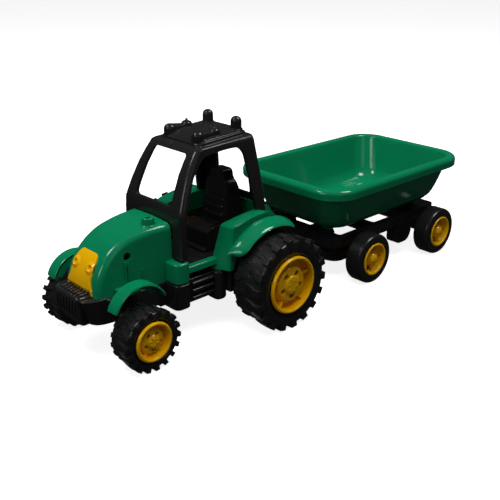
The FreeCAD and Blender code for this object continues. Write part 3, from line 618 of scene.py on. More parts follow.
def rear_mudguard():
    """Wing over a rear wheel: high at the body, drooping and rounded outwards."""
    thick, root = 2, 57.6

    def section(share):
        nose = math.sqrt(max(0, 1 - (1 - min(1, share / 0.17)) ** 2))
        lip = 57 + 15.2 * (0.16 + 0.84 * nose) * (1 - 0.12 * max(0, share - 0.85) / 0.15)
        outer = [(blend_of(56.4, lip, t), root - 5 * t ** 1.6) for t in (0, 0.2, 0.4, 0.6, 0.8, 0.94)]
        edge = [(lip, root - 5 - thick * 0.5)]
        inner = [(y - 0.1, r - thick) for y, r in reversed(outer)]
        return outer + edge + inner

    return bent_band(REAR_AXLE, (35, 121), section, 50)


class TOY_OT_wings(bpy.types.Operator):
    """Front fenders and rear mudguards"""

    bl_idname = "toy.wings"
    bl_label = "Fenders and mudguards"

    def execute(self, context):
        place_pair("front_fender", front_fender(), "tractor", "green_plastic")
        place_pair("rear_mudguard", rear_mudguard(), "tractor", "green_plastic")
        return {"FINISHED"}


class TOY_OT_body_sides(bpy.types.Operator):
    """Pillar sockets, sills, side quarters and the deck behind the seat"""

    bl_idname = "toy.body_sides"
    bl_label = "Body sides"

    def execute(self, context):
        sill = prism([(38.4, 66.6), (45.4, 66.6, 1), (44.9, 73.2, 2), (38.4, 73.2, 1)], "x", 105, 148)
        place_pair("sill", joined([pillar_socket(), sill]), "tractor", "green_plastic")
        place_pair("quarter", quarter(), "tractor", "green_plastic")
        deck = prism([(34, 92.5, 1), (44.5, 107.6, 2), (50.5, 108.4, 1), (50.5, 66.5), (47.5, 66.5),
                      (47.5, 101), (37, 88)], "y", -41, 41)
        cowl = box((149.2, 157), (-29.5, 29.5), (66.5, 73), rim=0.5)
        place_piece(joined([deck, cowl]), "rear_deck", "tractor", "green_plastic")
        return {"FINISHED"}


PANEL_LEVELS = (62.6, 77, 83.5, 95.4)


def panel_half(z):
    """Half the nose panel's width at a height: a flared foot, a straight middle and rounded top corners."""
    foot_z, waist_z, brow_z, top_z = PANEL_LEVELS
    if z < waist_z:
        t = (z - foot_z) / (waist_z - foot_z)
        return blend_of(19.6, 15.6, t * t * (3 - 2 * t))
    t = max(0, z - brow_z) / (top_z - brow_z)
    return 8.6 + 7 * math.sqrt(max(0, 1 - t * t))


class TOY_OT_nose_panel(bpy.types.Operator):
    """Yellow nose panel with its two lamp dimples"""

    bl_idname = "toy.nose_panel"
    bl_label = "Nose panel"

    def execute(self, context):
        nose = [p for p in nose_line(240) if PANEL_LEVELS[0] <= p[1] <= PANEL_LEVELS[-1]]
        columns, rings = 64, []
        for x, z in nose[::2]:
            ring = []
            for j in range(columns + 1):
                t = 2 * j / columns - 1
                y = t * panel_half(z)
                near = min(math.hypot(y - side * 11.2, (z - 84.4) * 1.25) for side in (-1, 1))
                out = 2.2 - 0.5 * t * t + 1.9 * math.cos(min(1, near / 6.4) * math.pi / 2) ** 1.2
                out -= 3.4 * max(0, 1 - (near / 2.9) ** 2)
                out -= 1.1 * min(1, max(0, (67.4 - z) / 0.8))
                slope = Vector((x - 175, z - 60)).normalized()
                ring.append((x + slope.x * out, y, z + slope.y * out))
            rings.append(ring)
        panel = thickened(loft(rings, closed=False, capped=False), 0, 2.8)
        place_piece(panel, "nose_panel", "tractor", "yellow_plastic", ["headlight_panel"], sharp=60)
        return {"FINISHED"}


# ---------------------------------------------------------------- cab
def cab_ring(z, inset=0, corner=5):
    """Level section of the cab's outer form, drawn in by inset."""
    levels = [(62, 154, 49, 43.8), (107, 154, 49, 44.6), (122, 153.6, 50.2, 43.6),
              (138, 147.6, 51.8, 41.2), (154, 140.2, 53.6, 38.4), (165, 133.2, 54.8, 36.6),
              (174.6, 126, 55.8, 35)]
    for (z0, f0, r0, h0), (z1, f1, r1, h1) in zip(levels, levels[1:]):
        if z <= z1:
            break
    t = (z - z0) / (z1 - z0)
    front, rear, half = blend_of(f0, f1, t), blend_of(r0, r1, t), blend_of(h0, h1, t)
    return plan_ring(rear + inset, front - inset, half - inset, max(1, corner - inset), z)


def roof_height(x, y):
    """Crown of the cab roof."""
    return 182.6 - 0.0036 * (x - 82) ** 2 - 0.0020 * y * y


def cab_hull():
    levels = (62, 100, 112, 118, 122, 127, 132, 138, 146, 154, 160, 165, 170, 173.5)
    rings = [cab_ring(z) for z in levels]
    for inset, share in ((0.3, 0.35), (1, 0.68), (2.2, 0.9), (4, 1), (14, 1), (24, 1), (32, 1)):
        ring = cab_ring(174.6, inset, corner=max(5.5, 1.2 + inset * 0.2))
        rings.append([(x, y, blend_of(174, roof_height(x, y), share)) for x, y, _ in ring])
    return loft(rings)


class TOY_OT_cab(bpy.types.Operator):
    """Cab moulding: pillars, screen surround, rear bar and crowned roof"""

    bl_idname = "toy.cab"
    bl_label = "Cab"

    def execute(self, context):
        wall = 3.4
        inside = loft([cab_ring(z, wall) for z in (50, 107, 118, 122, 127, 138, 154, 165, 170.5)])
        screen = prism(both_sides([(-27, 126.5, 5), (-23.4, 170.2, 3)]), "x", 110, 170)
        rear = prism(both_sides([(-24, 117, 3), (-21, 168, 4)]), "x", 30, 80)
        door = prism([(148.2, 40), (148.2, 121.5, 8), (134.6, 152), (122, 167.5, 5), (100, 171.3, 20),
                      (73, 169.6, 13), (63.6, 107), (63.2, 40)], "y", -60, 60)
        hood_gap = box((110, 170), (-30.2, 30.2), (40, 108))
        deck_gap = box((30, 70), (-60, 60), (40, 104.5))
        bar_gap = box((30, 70), (-36, 36), (40, 110))
        cab = carve(cab_hull(), [inside, screen, rear, door, hood_gap, deck_gap, bar_gap])
        place_piece(cab, "cab_moulding", "tractor", "black_plastic", ["cab_frame"], bevel=0.9)
        return {"FINISHED"}


PANEL_RISE = 2.3


class TOY_OT_roof_panel(bpy.types.Operator):
    """Raised roof panel with beacons, work lamps and aerial knobs"""

    bl_idname = "toy.roof_panel"
    bl_label = "Roof panel"

    def execute(self, context):
        rings = []
        for inset, rise in ((0, -4), (0, -1.9), (0.4, -1.4), (1.8, -1.2), (2.2, -0.9), (2.5, -0.3),
                            (3.6, 0), (6, 0), (12, 0), (18, 0), (24, 0)):
            corner = max(1, 9 - 0.3 * inset)
            ring = plan_ring(59 + inset, 120 - inset, 29.4 - inset, corner, 0)
            rings.append([(x, y, roof_height(x, y) + PANEL_RISE + rise) for x, y, _ in ring])
        parts = [loft(rings)]
        knob = [(-3, 0), (-3, 5.2), (1.6, 5.2, 1.2), (3.4, 3.4, 1.4), (3.8, 1.4, 0.5), (5.6, 1, 0.5),
                (5.8, 0)]
        fittings = (([(-2, 0), (-2, 5.2), (12.4, 5.2, 4.9), (12.4, 0)], 67.5, 182.4, "z"),
                    ([(-2, 0), (-2, 6.4), (0.8, 6.2, 0.5), (1, 0)], 67.5, 182.6, "z"),
                    ([(0, 0), (0, 3.2, 1), (17, 5.4), (17, 0)], 97.2, 182.6, "x"),
                    ([(-5, 0), (-5, 5.8), (4.8, 5.8, 4.6), (4.8, 0)], 113.8, 183, "z"),
                    (knob, 94, 184.2, "z"))
        for y in (-20.2, 20.2):
            parts += [turned(outline, 32, (x, y, z), axis) for outline, x, z, axis in fittings]
        place_piece(joined(parts), "roof_top", "tractor", "black_plastic", ["roof_panel"])
        return {"FINISHED"}


def leaned(bm):
    """Leans the upper part of the seat's back to the rear."""
    foot_z, lean = 96, 0.13
    for vert in bm.verts:
        vert.co.x -= lean * max(0, vert.co.z - foot_z * MM)
    return bm


class TOY_OT_seat(bpy.types.Operator):
    """Driver's seat with ribbed backrest, head rest and crowned cushion"""

    bl_idname = "toy.seat"
    bl_label = "Driver's seat"

    def execute(self, context):
        half = [(-17, 66), (-17.2, 96, 6), (-15.8, 127, 6), (-10.2, 131.5, 3), (-9, 141.4, 3)]
        back = prism(both_sides(half), "x", 58.6, 79.4, rim=2, steps=4)
        for vert in back.verts:
            slim = 0.47 * max(0, vert.co.z / MM - 100) / 41
            vert.co.x += (79.4 * MM - vert.co.x) * slim
        leaned(back)
        for vert in back.verts:
            if vert.co.x < 66 * MM:
                vert.co.x -= 6 * MM * max(0, 1 - (vert.co.z / MM - 66) / 60)
                vert.co.x = max(vert.co.x, 51.6 * MM)
        cushion = prism([(68, 66), (68, 88.5, 2), (96.5, 90.2, 5), (102.2, 86, 4), (100.5, 66.4)], "y",
                        -17, 17, rim=2.4, steps=4)
        pad = prism([(77, 86), (77, 90.6, 1), (93, 92, 5), (98, 88.6, 3), (97, 86)], "y",
                    -12.5, 12.5, rim=1.8)
        ribs = [leaned(box((76, 81), (-13.4, 13.4), (z - 2.6, z + 2.6), 1.6, 2, "x", 4))
                for z in (97, 105, 113)]
        floor_pan = box((100, 106), (-15, 15), (66, 69.5), rim=0.8, corner=1.2)
        whole = joined([back, cushion, pad, floor_pan] + ribs)
        place_piece(whole, "seat", "tractor", "black_plastic", ["driver_seat"])
        return {"FINISHED"}


# ---------------------------------------------------------------- chassis
def grille():
    """Rounded front block with seven bars that wrap over its top edge."""
    parts = [prism([(228, -18.6), (248, -18.6, 4), (248, 18.6, 4), (228, 18.6)], "z", 43, 64.6, rim=2.2)]
    bar = [(232, 60), (233, 66.2, 1.5), (246.8, 66, 4.5), (249.6, 58, 5), (248.8, 45.5, 2), (240, 45)]
    for y in (-14.25, -9.5, -4.75, 0, 4.75, 9.5, 14.25):
        parts.append(prism(bar, "y", y - 1.45, y + 1.45, rim=0.9))
    parts.append(box((226, 243), (-16, 16), (36, 45), rim=1.5, corner=3))
    return joined(parts)


def bumper_wing():
    """Swept side of the front bumper, from the grille back to the hood's foot."""
    top = [(226, 14), (246.2, 14, 1), (245.8, 23.2, 4), (238, 28.4, 5), (224, 30.4, 3), (163, 30.4), (163, 14)]
    wing = prism(top, "z", 38, 61, rim=1.8)
    for vert in wing.verts:
        x, z = vert.co.x / MM, vert.co.z / MM
        if z < 50 and x > 214:
            vert.co.x -= 8 * MM * min(1, (x - 214) / 30)
        if z > 50 and x > 226:
            vert.co.z += 1.5 * MM
        if z > 50 and x < 222:
            vert.co.z -= 2.6 * MM
    return wing


def pillar_post():
    """Rounded black post that carries a pillar socket on."""
    post = prism([(146, 24), (163.2, 24, 3), (163.2, 48, 6), (146, 48, 5)], "z", 33.6, 58.7, rim=1.2)
    for vert in post.verts:
        if vert.co.z < 40 * MM and vert.co.y > 40 * MM:
            vert.co.y -= 1.5 * MM
    return post


def step_side():
    """Recessed step panel with three ribs, its rounded rear post and the block behind it."""
    parts = [box((112, 149), (38, 43.2), (36.5, 60.4), rim=0.8, corner=1, axis="y")]
    for z in (41, 48.2, 55.4):
        rib = [(42, z - 1.9), (46.6, z - 1.9, 1.7), (46.6, z + 1.9, 1.7), (42, z + 1.9)]
        parts.append(prism(rib, "x", 118.5, 144.5, rim=0.9))
    post = [(105, 36), (118.6, 36), (118.6, 50.4, 5.5), (105, 50.4, 5.5)]
    parts.append(prism(post, "z", 31, 61.4, rim=3, steps=5))
    parts.append(box((90, 107), (30, 54.6), (38, 61), rim=1.4, corner=2, axis="y"))
    return joined(parts)


class TOY_OT_chassis(bpy.types.Operator):
    """Chassis: grille, bumper, posts, steps, floor, axle housings and hitch tongue"""

    bl_idname = "toy.chassis"
    bl_label = "Chassis"

    def execute(self, context):
        parts = [grille()]
        for maker in (bumper_wing, pillar_post, step_side):
            parts += pair(maker())
        sill_block = box((84, 147), (-43.6, 43.6), (37, 60.4), rim=1)
        cab_floor = box((48.8, 146.8), (-37.2, 37.2), (58, 66), rim=0.6)
        rear_block = box((44.2, 84), (-52.6, 52.6), (34.6, 58.5), rim=2, corner=3, axis="y")
        post_bridge = box((150, 170), (-30, 30), (35.2, 58), rim=1)
        front_block = box((160, 226), (-24, 24), (35, 56), rim=1.5)
        tongue = box((-6, 46.6), (-11, 11), (27, 32), rim=0.8, corner=5)
        tongue_root = prism([(30, 28), (46, 28), (46, 50), (40, 48, 4)], "y", -11, 11, rim=0.8)
        peg = turned([(-1, 0), (-1, 3.35), (7.2, 3.35), (7.4, 4.5, 0.3), (9, 4.4, 0.8), (9.9, 2.5, 0.6),
                      (10, 0)], 32, (1.5, 0, 32))
        parts += [sill_block, cab_floor, rear_block, post_bridge, front_block, tongue, tongue_root, peg]
        for (x, z), reach in ((FRONT_AXLE, 30), (REAR_AXLE, 53)):
            start, end = reach - 12, reach - 0.2
            sleeve = turned([(start, 2.6), (start, 5.2), (end, 5.2, 0.6), (end, 2.6)], 32, (x, 0, z), "y")
            parts += pair(sleeve) + pair(box((x - 4, x + 4), (reach - 11, reach - 1), (z + 3, 57), rim=0.6))
        lump = prism([(118, 66, 1), (136, 66, 1), (133, 70.5, 2), (124, 72, 3)], "y", 30.5, 37, rim=1)
        parts += pair(lump)
        place_piece(joined(parts), "chassis_moulding", "tractor", "black_plastic", ["chassis"])
        return {"FINISHED"}


# ---------------------------------------------------------------- wheels
def lug(radius, height, inner_y, outer_y, count):
    """Tread bar at the top of a wheel at the origin: low in the middle, high at the shoulder."""
    width = 2 * math.pi * radius / count * 0.46
    reach = outer_y - inner_y
    lean = width * 0.55
    outline = ((0, -0.30, 0), (0.42, -0.22, 0), (0.6, -0.5, lean), (1, -0.46, lean),
               (1, 0.5, lean), (0.66, 0.5, lean), (0.42, 0.46, 0), (0, 0.26, 0))
    bar = prism([(width * across + shift, inner_y + reach * along) for along, across, shift in outline], "z",
                radius - height - 5.5, radius)
    top = [e for e in bar.edges if min(v.co.z for v in e.verts) > (radius - 0.01) * MM]
    soften(bar, top, 0.7, 2)
    for vert in bar.verts:
        share = min(1, max(0, (vert.co.y / MM - inner_y) / (reach * 0.5)))
        if vert.co.z > (radius - 1) * MM:
            vert.co.z -= height * 0.5 * (1 - share) * MM
        r, a = vert.co.z, vert.co.x / (radius * MM)
        vert.co.x, vert.co.z = r * math.sin(a), r * math.cos(a)
    return bar


FAINT_ROW = 0.3


def tractor_tyre(radius, y0, y1, rim, count, height):
    """Carcass with round shoulders, a tall outer row of tread bars and a faint inner row."""
    base = radius - height
    shoulder = base - (y1 - y0) * 0.16
    bead = rim + 0.6
    middle = (y0 + y1) / 2
    half = [(y1 - 1.4, base - 0.3, 2.2), (y1 - 0.5, shoulder, 2), (y1 - 0.4, blend_of(rim, base, 0.42), 3),
            (y1 - 1, bead + 2.2, 1.5), (y1 - 2.6, bead, 0.6), (y1 - 3, rim - 1.5)]
    other = [(y0 + y1 - y, r, *corner) for y, r, *corner in reversed(half)]
    carcass = turned(other + [(middle, base)] + half, 96, (0, 0, 0), "y")
    outer = lug(radius, height, middle - 1, y1 - 0.3, count)
    inner = mirrored(lug(base + height * FAINT_ROW, height * FAINT_ROW, middle - 1, y1 - 1.6, count))
    bmesh.ops.translate(inner, vec=(0, 2 * middle * MM, 0), verts=inner.verts)
    bars = []
    for i in range(count):
        for bar, shift in ((outer, 0), (inner, 0.5)):
            bars.append(rolled(bar.copy(), 360 * (i + shift) / count))
    outer.free()
    inner.free()
    return joined([carcass] + bars)


def tractor_rim(y0, y1, rim, face):
    """Dished rim: rolled flange, deep channel, raised disc with five holes and a dotted hub."""
    seat, dish = rim - 1.5, face - rim * 0.40
    level, back = face - 3.6, y0 + 2.5
    disc, hub = rim * 0.60, rim * 0.30
    flange = [(y0 + 2, seat, 0.6), (y1 - 1.4, seat), (y1 - 1, rim + 0.3, 0.5), (face, rim - 0.5, 1),
              (face, seat - 1.2, 0.9)]
    channel = [(dish + 2, seat - 2.8, 1.5), (dish, seat - 4.2, 1.2), (dish, disc + 1.6, 0.8)]
    front = [(level - 1, disc + 0.4, 0.8), (level, disc - 1.2, 0.8), (level + 0.3, hub + 1, 0.4),
             (level + 1.8, hub - 0.2, 0.8), (level + 2, 0)]
    behind = [(back, 0), (back, hub * 0.6), (level - 2.6, hub * 0.6), (level - 2.6, disc - 2),
              (dish - 1.8, disc - 0.6), (dish - 1.8, seat - 3.4), (y0 + 2, seat - 1.8)]
    body = turned(flange + channel + front + behind, 80, (0, 0, 0), "y")
    root = [(disc - 1.4, dish - 1), (disc - 1.4, level - 1.6), (seat - 2, level - 0.4), (seat - 1, dish - 1)]
    windows, extras = [], []
    for i in range(5):
        window = box((disc * 0.56, disc * 0.84), (level - 4, face + 5), (-disc * 0.17, disc * 0.17),
                     corner=0.7, axis="y")
        windows.append(rolled(window, 72 * i + 52))
        extras.append(rolled(prism(root, "z", -1.3, 1.3, rim=0.5, steps=2), 72 * i + 16))
    for i in range(6):
        a = math.radians(60 * i + 20)
        place = (hub * 0.62 * math.cos(a), level + 1.9, hub * 0.62 * math.sin(a))
        extras.append(turned([(-1, 0), (-1, 1), (0.5, 0.9, 0.4), (0.8, 0)], 12, place, "y"))
    return joined([carve(body, windows)] + extras)


def trailer_tyre(radius, y0, y1, rim):
    """Smooth tyre with large round shoulders, about the origin."""
    inner = [(y0 + 1, rim - 1.2), (y0, rim + 2, 1), (y0, radius - 1.6, 1.2), (y0 + 1.8, radius, 1.4)]
    outer = [(y1 - 2.2, radius, 1.4), (y1 - 0.5, radius - 1.4, 1.2), (y1, radius - 6, 1.5),
             (y1, rim + 0.6, 0.6), (y1 - 1.5, rim - 1.2)]
    return turned(inner + outer, 96, (0, 0, 0), "y")


def trailer_rim(y0, y1, rim):
    """Rim about the origin with a domed hub and four openings."""
    seat, dish = rim - 1.2, y1 - 5.5
    flange = [(y0 + 2, seat), (y1 - 0.6, seat), (y1 - 0.2, rim + 0.1, 0.3), (y1 + 0.8, rim - 0.6, 0.7),
              (y1 + 0.8, seat - 1.4, 0.8), (dish + 2, seat - 2.6, 1.2), (dish, seat - 3.4, 1)]
    dome = [(dish, 7, 1), (dish + 4.2, 6, 1.4), (dish + 6.2, 3.8, 1.6), (dish + 6.7, 0)]
    behind = [(y0 + 2.5, 0), (y0 + 2.5, 4.5), (dish - 2.2, 4.5), (dish - 2.2, seat - 3.4), (y0 + 2, seat - 1.6)]
    body = turned(flange + dome + behind, 72, (0, 0, 0), "y")
    opening = [(8.2, -3.2, 1), (seat - 3.2, -5, 1.4), (seat - 3.2, 5, 1.4), (8.2, 3.2, 1)]
    windows, sideways = [], Matrix.Rotation(-math.pi / 2, 3, "X")
    for i in range(4):
        window = prism(opening, "z", dish - 4, dish + 4)
        bmesh.ops.rotate(window, cent=(0, 0, 0), matrix=sideways, verts=window.verts)
        windows.append(rolled(window, 90 * i + 20))
    return carve(body, windows)


def wheel_pair(name, body, bm, slot):
    """Puts a left-hand wheel piece in place at its axle and its mirror image on the other side."""
    x, z = centre(f"{name}_left", 0), centre(f"{name}_left", 2)
    bmesh.ops.translate(bm, vec=Vector((x, 0, z)) * MM, verts=bm.verts)
    place_pair(name, bm, body, slot, nodes=True)


# radius of each rim, and how high the tyre's tread is as a share of the full height
WHEELS = {"rear": (28.3, 1), "front": (18.6, 0.78), "trailer_front": (18.2, 0), "trailer_rear": (18.2, 0)}


class TOY_OT_tyres(bpy.types.Operator):
    """Tread tyres of the tractor and smooth tyres of the trailer"""

    bl_idname = "toy.tyres"
    bl_label = "Tyres"

    def execute(self, context):
        shape = context.scene.toy_shape
        for name, (rim, tread) in WHEELS.items():
            node = f"{name}_tyre_left"
            bottom, top = span(node, 2)
            radius = (top - bottom) / 2
            if tread:
                bm = tractor_tyre(radius, *span(node, 1), rim, shape.lugs, shape.lug_height * tread)
            else:
                bm = trailer_tyre(radius, *span(node, 1), rim)
            wheel_pair(f"{name}_tyre", f"{name}_wheels", bm, "tyre_plastic")
        return {"FINISHED"}


class TOY_OT_rims(bpy.types.Operator):
    """Yellow rims of all eight wheels"""

    bl_idname = "toy.rims"
    bl_label = "Rims"

    def execute(self, context):
        for name, (rim, tread) in WHEELS.items():
            y0, y1 = span(f"{name}_tyre_left", 1)
            face = span(f"{name}_rim_left", 1)[1]
            bm = tractor_rim(y0, y1, rim, face) if tread else trailer_rim(y0, y1, rim)
            wheel_pair(f"{name}_rim", f"{name}_wheels", bm, "yellow_plastic")
        return {"FINISHED"}


# ---------------------------------------------------------------- trailer
TUB_FLOOR_Z, TUB_TOP_Z = 58.5, 111.5


def tub_ring(share, grow, z):
    """Level ring of the tub's outer wall at a share of its height, moved outwards by grow."""
    return plan_ring(blend_of(-226, -239.2, share) - grow, blend_of(-40, -21.6, share) + grow,
                     blend_of(56, 69.4, share) + grow, blend_of(24, 22.5, share) + grow, z, 12)


def wall_ring(z, grow):
    """Ring on the tub's wall at a height."""
    return tub_ring((z - TUB_FLOOR_Z) / (TUB_TOP_Z - TUB_FLOOR_Z), grow, z)


def quarter_turn(across, height, radius, start, steps=5):
    """Places on a quarter circle: (across, height) of each, from an angle onwards."""
    angles = [math.radians(start + 90 * i / steps) for i in range(steps + 1)]
    return [(across + radius * math.cos(a), height + radius * math.sin(a)) for a in angles]


def hinge_lug(half, root_z, end_z, y):
    """Lug round the tub's hinge pin, from its root to its rounded end."""
    x = centre("tub_hinge_pin", 0)
    outline = [(x - half, root_z), (x - half, end_z, 2.6), (x + half, end_z, 2.6), (x + half, root_z)]
    return prism(outline, "y", y, y + 3.8, rim=0.4, steps=2)


class TOY_OT_tub(bpy.types.Operator):
    """Tipping tub with its rolled rim, front pegs and hinge lugs"""

    bl_idname = "toy.tub"
    bl_label = "Tub"

    def execute(self, context):
        floor = TUB_FLOOR_Z
        foot = ((-13, 0), (-8.4, 0.5), (-4.6, 2), (-2.2, 4.4))
        rings = [tub_ring(0, grow, floor + rise) for grow, rise in foot]
        outside = ((66.2, -1.3), (70.5, -0.3), (76, 0.3), (84, 0.7), (94, 0.5), (100.2, 0))
        rings += [wall_ring(z, grow) for z, grow in outside]
        lip = [(1.4, 100.8), (4.6, 100.6), (8.4, 100.9), (9.5, 101.8)]
        lip += quarter_turn(5, 107.6, 4.8, 0) + quarter_turn(1.8, 109, 3.4, 90)
        rings += [tub_ring(0.9, grow, z) for grow, z in lip]
        rings += [wall_ring(z, -2.5) for z in (107, 100, 92, 82, 73)]
        rings += [wall_ring(z, grow) for z, grow in ((69.5, -3.4), (66, -4.6), (63.4, -6.6), (61.8, -9.4))]
        rings += [tub_ring(0, grow, floor + rise) for grow, rise in ((-12.5, 2.6), (-16, 2.5))]
        parts = [loft(rings)]
        for place in PEG_PLACES:
            parts.append(turned([(0, 0), (0, 3.6, 0.8), (13.5, 4.1), (13.5, 0)], 28, (*place, 46.2)))
            parts.append(turned([(0, 0), (0, 5.4, 1), (3, 6.4, 0.8), (4, 0)], 28, (*place, 56)))
        pin_z = centre("tub_hinge_pin", 2)
        parts += [hinge_lug(3.2, floor + 1, pin_z - 3.2, y) for y in (24.7, -28.5)]
        place_piece(joined(parts), "tub", "tub", "green_plastic", ["trailer_tub"])
        return {"FINISHED"}


FRAME_X = (-223, -41)
FRAME_HALF, FRAME_RAIL = 57, 7
FRAME_BAYS = ((-106, -56), (-168, -114))


def frame_outline(inset, rear, front, corners):
    """Half of the frame's outline from above, drawn in at its sides and ends."""
    side = inset - FRAME_HALF
    return [(FRAME_X[0] + rear, side, corners[0]), (FRAME_X[1] - front, side, corners[1]),
            (FRAME_X[1] - front, -side, corners[1]), (FRAME_X[0] + rear, -side, corners[0])]


def frame_plate():
    """Ladder frame's top plate with its two bays, hinge slots and peg wells."""
    inner = FRAME_HALF - FRAME_RAIL
    plate = prism(frame_outline(0, 0, 0, (8, 13)), "z", 41, 52)
    bays = [box(bay, (-inner, inner), (30, 60), corner=3) for bay in FRAME_BAYS]
    slots = [box((-225, -209), (y, y + 6), (48.5, 60)) for y in (24.2, -30.2)]
    wells = [turned([(-6, 0), (-6, 4.5), (12, 4.5), (12, 0)], 28, (*place, 50)) for place in PEG_PLACES]
    return carve(carve(plate, bays + slots), wells)


def frame_flange():
    """Rim under the plate."""
    outline = frame_outline(3, 3, 2, (6, 11))
    inner = FRAME_HALF - FRAME_RAIL - 3
    return carve(prism(outline, "z", 37, 42.5), [box((-211, -56), (-inner, inner), (30, 60), corner=3)])


def frame_bow():
    """Bowed beam round the front of the frame."""
    section = [(-5, -6), (-3.4, -7.6), (3.4, -7.6), (5, -6), (5.4, 0), (5, 5.4), (3.2, 7.2), (-3.2, 7.2),
               (-5, 5.4)]
    rings, steps = [], 28
    for i in range(steps + 1):
        a = math.radians(-90 + 180 * i / steps)
        x = -70 + 24 * abs(math.cos(a)) ** 0.55
        y = 45.5 * math.copysign(abs(math.sin(a)) ** 0.75, a)
        way = Vector((math.cos(a), math.sin(a) * 0.6)).normalized()
        z = 27.6 + 3 * math.cos(a) ** 2
        rings.append([(x + way.x * out, y + way.y * out, z + rise) for out, rise in section])
    return loft(rings)


class TOY_OT_trailer_frame(bpy.types.Operator):
    """Trailer's ladder frame, peg cups, axle carriers, side boxes and front bow"""

    bl_idname = "toy.trailer_frame"
    bl_label = "Trailer frame"

    def execute(self, context):
        plate, flange = frame_plate(), frame_flange()
        cup = [(-9, 0), (-9, 7.4, 0.5), (3, 6.8, 0.8), (3, 4.6, 0.4), (-1, 4.4), (-1, 0)]
        parts = [turned(cup, 32, (*place, 50)) for place in PEG_PLACES]
        parts += pair(box((-56.5, -46), (14, 42), (50, 56.4), rim=1, corner=2))
        for x in TRAILER_AXLES_X:
            carrier = [(x - 8, 44), (x - 5.5, 22, 3), (x + 5.5, 22, 3), (x + 8, 44)]
            parts += pair(prism(carrier, "y", 44.5, 52.8, rim=0.8))
        tank = [(-178, 43), (-178, 24, 7), (-170, 17.2, 5), (-153, 17.2, 4), (-149, 22, 3), (-149, 43)]
        parts += pair(prism(tank, "y", 43.5, 57.2, rim=2))
        parts += pair(prism([(-184, 44), (-176, 30, 3), (-170, 30), (-170, 44)], "y", 46, 54, rim=0.8))
        parts.append(frame_bow())
        parts += pair(box((-84, -66), (40, 50), (20.5, 42), rim=1.5, corner=3))
        parts.append(box((-57, -45.5), (-17, 17), (30, 43), rim=1.2, corner=2))
        parts += [hinge_lug(3, 50, 56.4, y) for y in (20.1, -23.9)]
        place_piece(plate, "frame_plate", "trailer", "black_plastic", bevel=1.3)
        place_piece(flange, "frame_flange", "trailer", "black_plastic", bevel=0.6)
        place_piece(joined(parts), "frame_undercarriage", "trailer", "black_plastic", ["trailer_frame"])
        return {"FINISHED"}


# ---------------------------------------------------------------- carried-over nodes, stage and panel
class TOY_OT_metal_and_links(bpy.types.Operator):
    """Finishes of the design's own nodes that stay: axles, screws, hinge pin and drawbar"""

    bl_idname = "toy.metal_and_links"
    bl_label = "Axles, screws and drawbar"

    def execute(self, context):
        slots = {row["node"]: row["material_slot"] for row in frame["record"]["subparts"]}
        for name, node in frame["nodes"].items():
            finish = finish_of(slots[name], 0.0 if slots[name] == "steel" else 0.5)
            node.data.materials.clear()
            node.data.materials.append(finish)
        return {"FINISHED"}


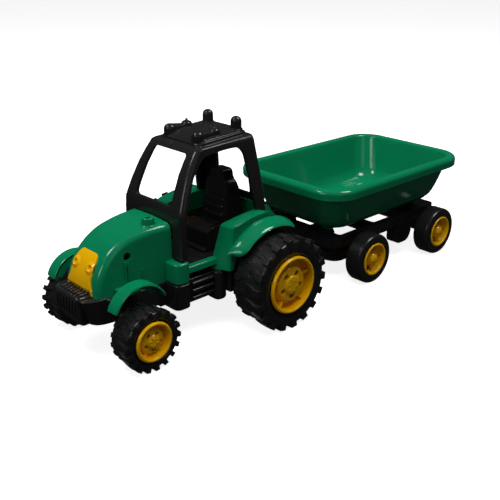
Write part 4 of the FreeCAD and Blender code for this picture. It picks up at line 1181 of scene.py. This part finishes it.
class TOY_OT_stage(bpy.types.Operator):
    """Pale floor, soft studio lights and the camera"""

    bl_idname = "toy.stage"
    bl_label = "Stage"

    def area_light(self, name, place, target, size, power):
        data = bpy.data.lights.new(name, "AREA")
        data.shape, data.size, data.energy = "DISK", size, power
        lamp = linked(name, data)
        lamp.location = place
        lamp.rotation_euler = (Vector(target) - Vector(place)).to_track_quat("-Z", "Y").to_euler()
        return lamp

    def studio_world(self):
        """White behind the toy, a dim room in its reflections and a little light from all round."""
        world = bpy.data.worlds.new("studio")
        world.use_nodes = True
        nodes, links = world.node_tree.nodes, world.node_tree.links
        rays = nodes.new("ShaderNodeLightPath")
        dim = nodes.new("ShaderNodeMix")
        dim.inputs["A"].default_value, dim.inputs["B"].default_value = 0.05, 0.025
        links.new(rays.outputs["Is Glossy Ray"], dim.inputs["Factor"])
        seen = nodes.new("ShaderNodeMix")
        seen.inputs["B"].default_value = 1.0
        links.new(rays.outputs["Is Camera Ray"], seen.inputs["Factor"])
        links.new(dim.outputs["Result"], seen.inputs["A"])
        nodes["Background"].inputs["Color"].default_value = (1, 1, 1, 1)
        links.new(seen.outputs["Result"], nodes["Background"].inputs["Strength"])
        return world

    def execute(self, context):
        stage = context.scene.toy_stage
        bm = bmesh.new()
        bmesh.ops.create_grid(bm, x_segments=1, y_segments=1, size=6.0)
        floor = linked("studio_floor", mesh_of("studio_floor", bm))
        b = Build("studio_floor")
        tint = tuple(stage.floor_colour)
        b.feed("Base Color", b.mix(b.ramp(b.noise(3.0), 0.2, 0.9), tint, darker(tint, 0.99)))
        b.feed("Roughness", 0.9)
        b.feed("Emission Color", tint)
        b.feed("Emission Strength", 0.95)
        floor.data.materials.append(b.material)
        floor.visible_glossy = floor.visible_diffuse = False
        middle, front, nose = (0, 0, 0.05), (0.1, 0, 0.05), (0.1, 0.05, 0.08)
        self.area_light("top_softbox", (0.15, 0.1, 1.5), middle, 1.7, 21).visible_glossy = False
        self.area_light("top_reflector", (0.15, 0.1, 1.5), middle, 1.7, 12)
        self.area_light("streak_reflector", (-0.37, 0.42, 1.06), nose, 0.46, 6.0).visible_diffuse = False
        self.area_light("nose_reflector", (0.72, -0.34, 1.06), nose, 0.34, 3.5).visible_diffuse = False
        self.area_light("side_softbox", (0.5, 1.5, 0.75), middle, 0.7, 0.5)
        self.area_light("front_softbox", (1.6, 0.1, 0.8), front, 0.6, 3.0)
        context.scene.world = self.studio_world()
        context.scene.view_settings.view_transform = "Standard"
        data = bpy.data.cameras.new("camera")
        data.lens, data.sensor_width, data.clip_start = stage.lens, 36.0, 0.01
        camera = linked("camera", data)
        target = Vector((0.02975, 0.0, 0.0433))
        level = math.cos(stage.elevation)
        out = Vector((level * math.cos(stage.azimuth), level * math.sin(stage.azimuth),
                      math.sin(stage.elevation)))
        camera.location = target + out * stage.distance
        turn = (-out).to_track_quat("-Z", "Y").to_matrix().to_4x4() @ Matrix.Rotation(stage.roll, 4, "Z")
        camera.rotation_euler = turn.to_euler()
        context.scene.camera = camera
        return {"FINISHED"}


PIECES = (TOY_OT_hood, TOY_OT_wings, TOY_OT_body_sides, TOY_OT_nose_panel, TOY_OT_cab, TOY_OT_roof_panel,
          TOY_OT_seat, TOY_OT_chassis, TOY_OT_tyres, TOY_OT_rims, TOY_OT_tub, TOY_OT_trailer_frame,
          TOY_OT_metal_and_links, TOY_OT_stage)
GROUPS = {"toy_finish": ToyFinish, "toy_shape": ToyShape, "toy_stage": ToyStage}


class TOY_PT_panel(bpy.types.Panel):
    """Lists the toy's pieces and its sizes and colours"""

    bl_idname = "TOY_PT_panel"
    bl_label = "Toy tractor"
    bl_space_type = "VIEW_3D"
    bl_region_type = "UI"
    bl_category = "Toy tractor"

    def draw(self, context):
        for name, group in GROUPS.items():
            box_of = self.layout.box()
            for key in group.__annotations__:
                box_of.prop(getattr(context.scene, name), key)
        for piece in PIECES:
            self.layout.operator(piece.bl_idname)


def register():
    for item in (*GROUPS.values(), *PIECES, TOY_PT_panel):
        bpy.utils.register_class(item)
    for name, group in GROUPS.items():
        setattr(bpy.types.Scene, name, bpy.props.PointerProperty(type=group))


def unregister():
    for name in GROUPS:
        delattr(bpy.types.Scene, name)
    for item in (TOY_PT_panel, *reversed(PIECES), *reversed(tuple(GROUPS.values()))):
        bpy.utils.unregister_class(item)


def main():
    register()
    for piece in PIECES:
        family, name = piece.bl_idname.split(".")
        getattr(getattr(bpy.ops, family), name)()


if __name__ == "__main__":
    main()
